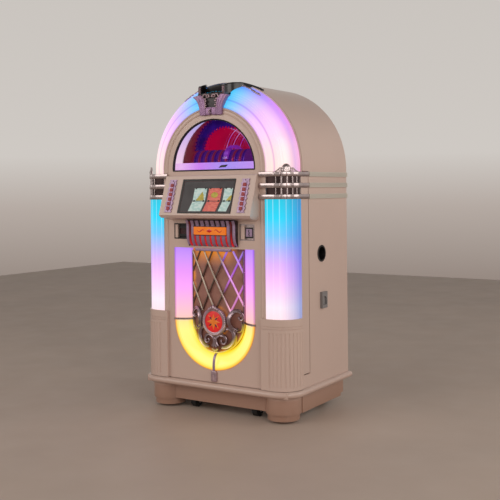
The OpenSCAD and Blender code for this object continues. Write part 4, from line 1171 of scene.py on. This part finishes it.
OUTER = [(72, -3), (76, 26), (84, 46), (99, 67), (117, 88), (155, 108), (196, 124)]
INNER = [(58, -3), (60, 30), (69, 54), (84, 78), (103, 108), (148, 129), (194, 137)]
bm = bmesh.new()
for m in (-1, 1):
    rings = []
    for (xo, yo), (xi, yi) in zip(spline(OUTER, 48), spline(INNER, 48)):
        ring = []
        foot_o = max(1448.0, SPRING + math.sqrt(lens_r(yo) ** 2 - xo * xo) - 0.5)
        foot_i = max(1440.0, SPRING + math.sqrt(lens_r(yi) ** 2 - xi * xi) - 0.5)
        for k, drop in ((0.0, 0.0), (0.0, 2.6), (0.12, 0.8), (0.5, 0.0), (0.88, 0.8), (1.0, 2.6),
                        (1.0, 0.0)):
            x, y = xo + (xi - xo) * k, yo + (yi - yo) * k
            z = min(1519.6, SPRING + math.sqrt(fin_top(y) ** 2 - x * x)) - drop
            if not ring:
                z = foot_o
            ring.append((x, y, z))
        ring[-1] = (xi, yi, min(foot_i, ring[-2][2] - 0.2))
        ring[0] = (xo, yo, min(foot_o, ring[1][2] - 0.2))
        rings.append([bm.verts.new(at(m * x, y, z)) for x, y, z in ring])
    skin(bm, rings, closed=True, caps=True)
piece("crest_fins", bm, BLACK_GLOSS, "black_plastic")

# black hood between the fins and the pale strip behind it
bm = bmesh.new()
rows = []
for i in range(19):
    y = 2 + 98 * i / 18
    half = 60 + 32 * (y / 100) ** 1.6
    row = []
    for k in range(13):
        x = half * (k / 6 - 1)
        z = SPRING + math.sqrt(min(401.9, lens_r(y) + 3.0) ** 2 - x * x)
        row.append(bm.verts.new(at(x, y - 2.0 if z < 1446 else y, max(z, 1446))))
    rows.append(row)
skin(bm, rows)
low = [bm.verts.new(Vector((v.co.x, v.co.y - 3 * MM, 1441 * MM))) for v in rows[0]]
skin(bm, [rows[0], low])
add_boxes(bm, (-58, 58, -3, 22, 1438, 1462))
piece("crest_hood", bm, BLACK, "black_plastic")
bm = bmesh.new()
rows = []
for y, r in ((98, 399.5), (100, 401.6), (105, 401.95), (112, 401.95), (113, 400.0), (106, 398.5)):
    row = []
    for k in range(13):
        x = 92 * (k / 6 - 1)
        row.append(bm.verts.new(at(x, y, SPRING + math.sqrt(r * r - x * x))))
    rows.append(row)
skin(bm, rows, loop=True)
bm.faces.new([r[0] for r in rows])
bm.faces.new([r[-1] for r in reversed(rows)])
piece("crest_back_strip", bm, CREAM, "cream_paint")

# pale trim along the foot of each fin, then a line of chrome leaves
bm = bmesh.new()
leaves = bmesh.new()
darts = bmesh.new()
for m in (-1, 1):
    path, ups = [], []
    for th, y in spline([(9.0, 20), (9.8, 30), (11.5, 46), (14.0, 67), (15.6, 92)], 30):
        p, u = on_lens(m * th, y, 0.6)
        path.append(p)
        ups.append(u)
    add_sweep(bm, path, round_section(11.0, 4.4, 8), up=ups,
              scale=taper(1.25, 0.9, 30))
    line = spline([(15.8, 93), (18.0, 92), (22.5, 88), (26.5, 82), (29.5, 80), (32.0, 83)], 40)
    path, ups, sc = [], [], []
    for i, (th, y) in enumerate(line):
        p, u = on_lens(m * th, y, 0.4)
        path.append(p)
        ups.append(u)
        sc.append(0.75 + 0.5 * abs(math.sin(math.pi * i / 10)))
    add_sweep(leaves, path, round_section(9.0, 4.2, 8), up=ups, scale=sc)
    for i in range(0, 41, 5):
        th, y = line[i]
        p, u = on_lens(m * (th + 0.6), y - 5, 2.0)
        bmesh.ops.create_uvsphere(leaves, u_segments=10, v_segments=6, radius=(4.6 - 0.04 * i) * MM,
                                  matrix=Matrix.Translation(p))
    skin(darts, [[darts.verts.new(on_lens(m * th, y, lift)[0]) for th, y in points]
                 for lift, points in ((0.8, ((10.6, 24), (14.4, 27), (12.8, 38))),
                                      (3.2, ((11.2, 26), (13.8, 28), (12.8, 35))))],
         closed=True, caps=True)
piece("crest_fin_trim", bm, CHROME, "chrome_trim")
piece("crest_leaves", leaves, CAST_CHROME, "chrome_trim")
piece("crest_darts", darts, BLACK_GLOSS, "black_plastic", smooth=False)

# --- small hardware

bm = bmesh.new()
for x, z in ((-380, 200), (380, 200), (-380, 660), (380, 660), (-380, 1080), (380, 1080),
             (-260, 1400), (260, 1400), (0, 1490), (0, 150)):
    mat = Matrix.Translation(at(x, 544.2, z)) @ Matrix.Rotation(math.pi / 2, 4, "X")
    bmesh.ops.create_cone(bm, cap_ends=True, segments=20, radius1=6 * MM, radius2=5 * MM,
                          depth=1.4 * MM, matrix=mat)
piece("back_screws", bm, ZINC, "grey_trim", "cabinet", smooth=False)

# --- camera, lights, floor

cam = bpy.data.cameras.new("photo_view")
cam.lens = 61.98
cam.sensor_width = 36.0
cam.shift_y = -0.1217
cam_o = add_object("photo_view", cam)
cam_o.matrix_world = (Matrix.Translation(at(2256.75, -3193.45, 1024.96))
                      @ Matrix.Rotation(math.radians(32.775), 4, "Z")
                      @ Matrix.Rotation(math.radians(90), 4, "X")
                      @ Matrix.Rotation(math.radians(-0.577), 4, "Z"))
bpy.context.scene.camera = cam_o

bm = bmesh.new()
bmesh.ops.create_grid(bm, x_segments=1, y_segments=1, size=6.0)
me = bpy.data.meshes.new("floor")
bm.to_mesh(me)
bm.free()
floor = add_object("floor", me)
me.materials.append(solid("pale_floor", (196, 178, 164), 0.55, vary=0.02, scale=2.0))


def area(name, loc, target, size, power, col=(1, 1, 1)):
    light = bpy.data.lights.new(name, "AREA")
    light.shape = "RECTANGLE"
    light.size, light.size_y = size
    light.energy = power
    light.color = col
    o = add_object(name, light)
    o.location = loc
    o.rotation_euler = (Vector(target) - Vector(loc)).to_track_quat("-Z", "Y").to_euler()


area("key", (4.4, -2.6, 2.6), (0.1, 0, 1.1), (3.4, 3.0), 66, (1.0, 0.95, 0.90))
area("fill", (-2.2, -4.2, 2.8), (0, 0, 1.0), (4.0, 2.6), 66, (1.0, 0.93, 0.88))
area("side", (4.2, 1.6, 2.2), (0.3, 0, 0.9), (2.4, 2.4), 34, (1.0, 0.96, 0.92))

world = bpy.data.worlds.new("studio")
world.use_nodes = True
bpy.context.scene.world = world
wt = world.node_tree
bg = wt.nodes["Background"]
tc = wt.nodes.new("ShaderNodeTexCoord")
sp = wt.nodes.new("ShaderNodeSeparateXYZ")
wt.links.new(tc.outputs["Generated"], sp.inputs[0])
mr = wt.nodes.new("ShaderNodeMapRange")
mr.inputs["From Min"].default_value = -1.0
wt.links.new(sp.outputs[2], mr.inputs["Value"])
wt.links.new(Net(wt, mr.outputs[0]).ramp(
    (0.40, (110, 86, 72)), (0.49, (200, 188, 180)), (0.52, (228, 222, 216)),
    (0.66, (220, 214, 208)), (0.85, (120, 114, 112)), (1.0, (96, 90, 88))), bg.inputs["Color"])
bg.inputs["Strength"].default_value = 0.80
bpy.context.scene.view_settings.view_transform = "Standard"
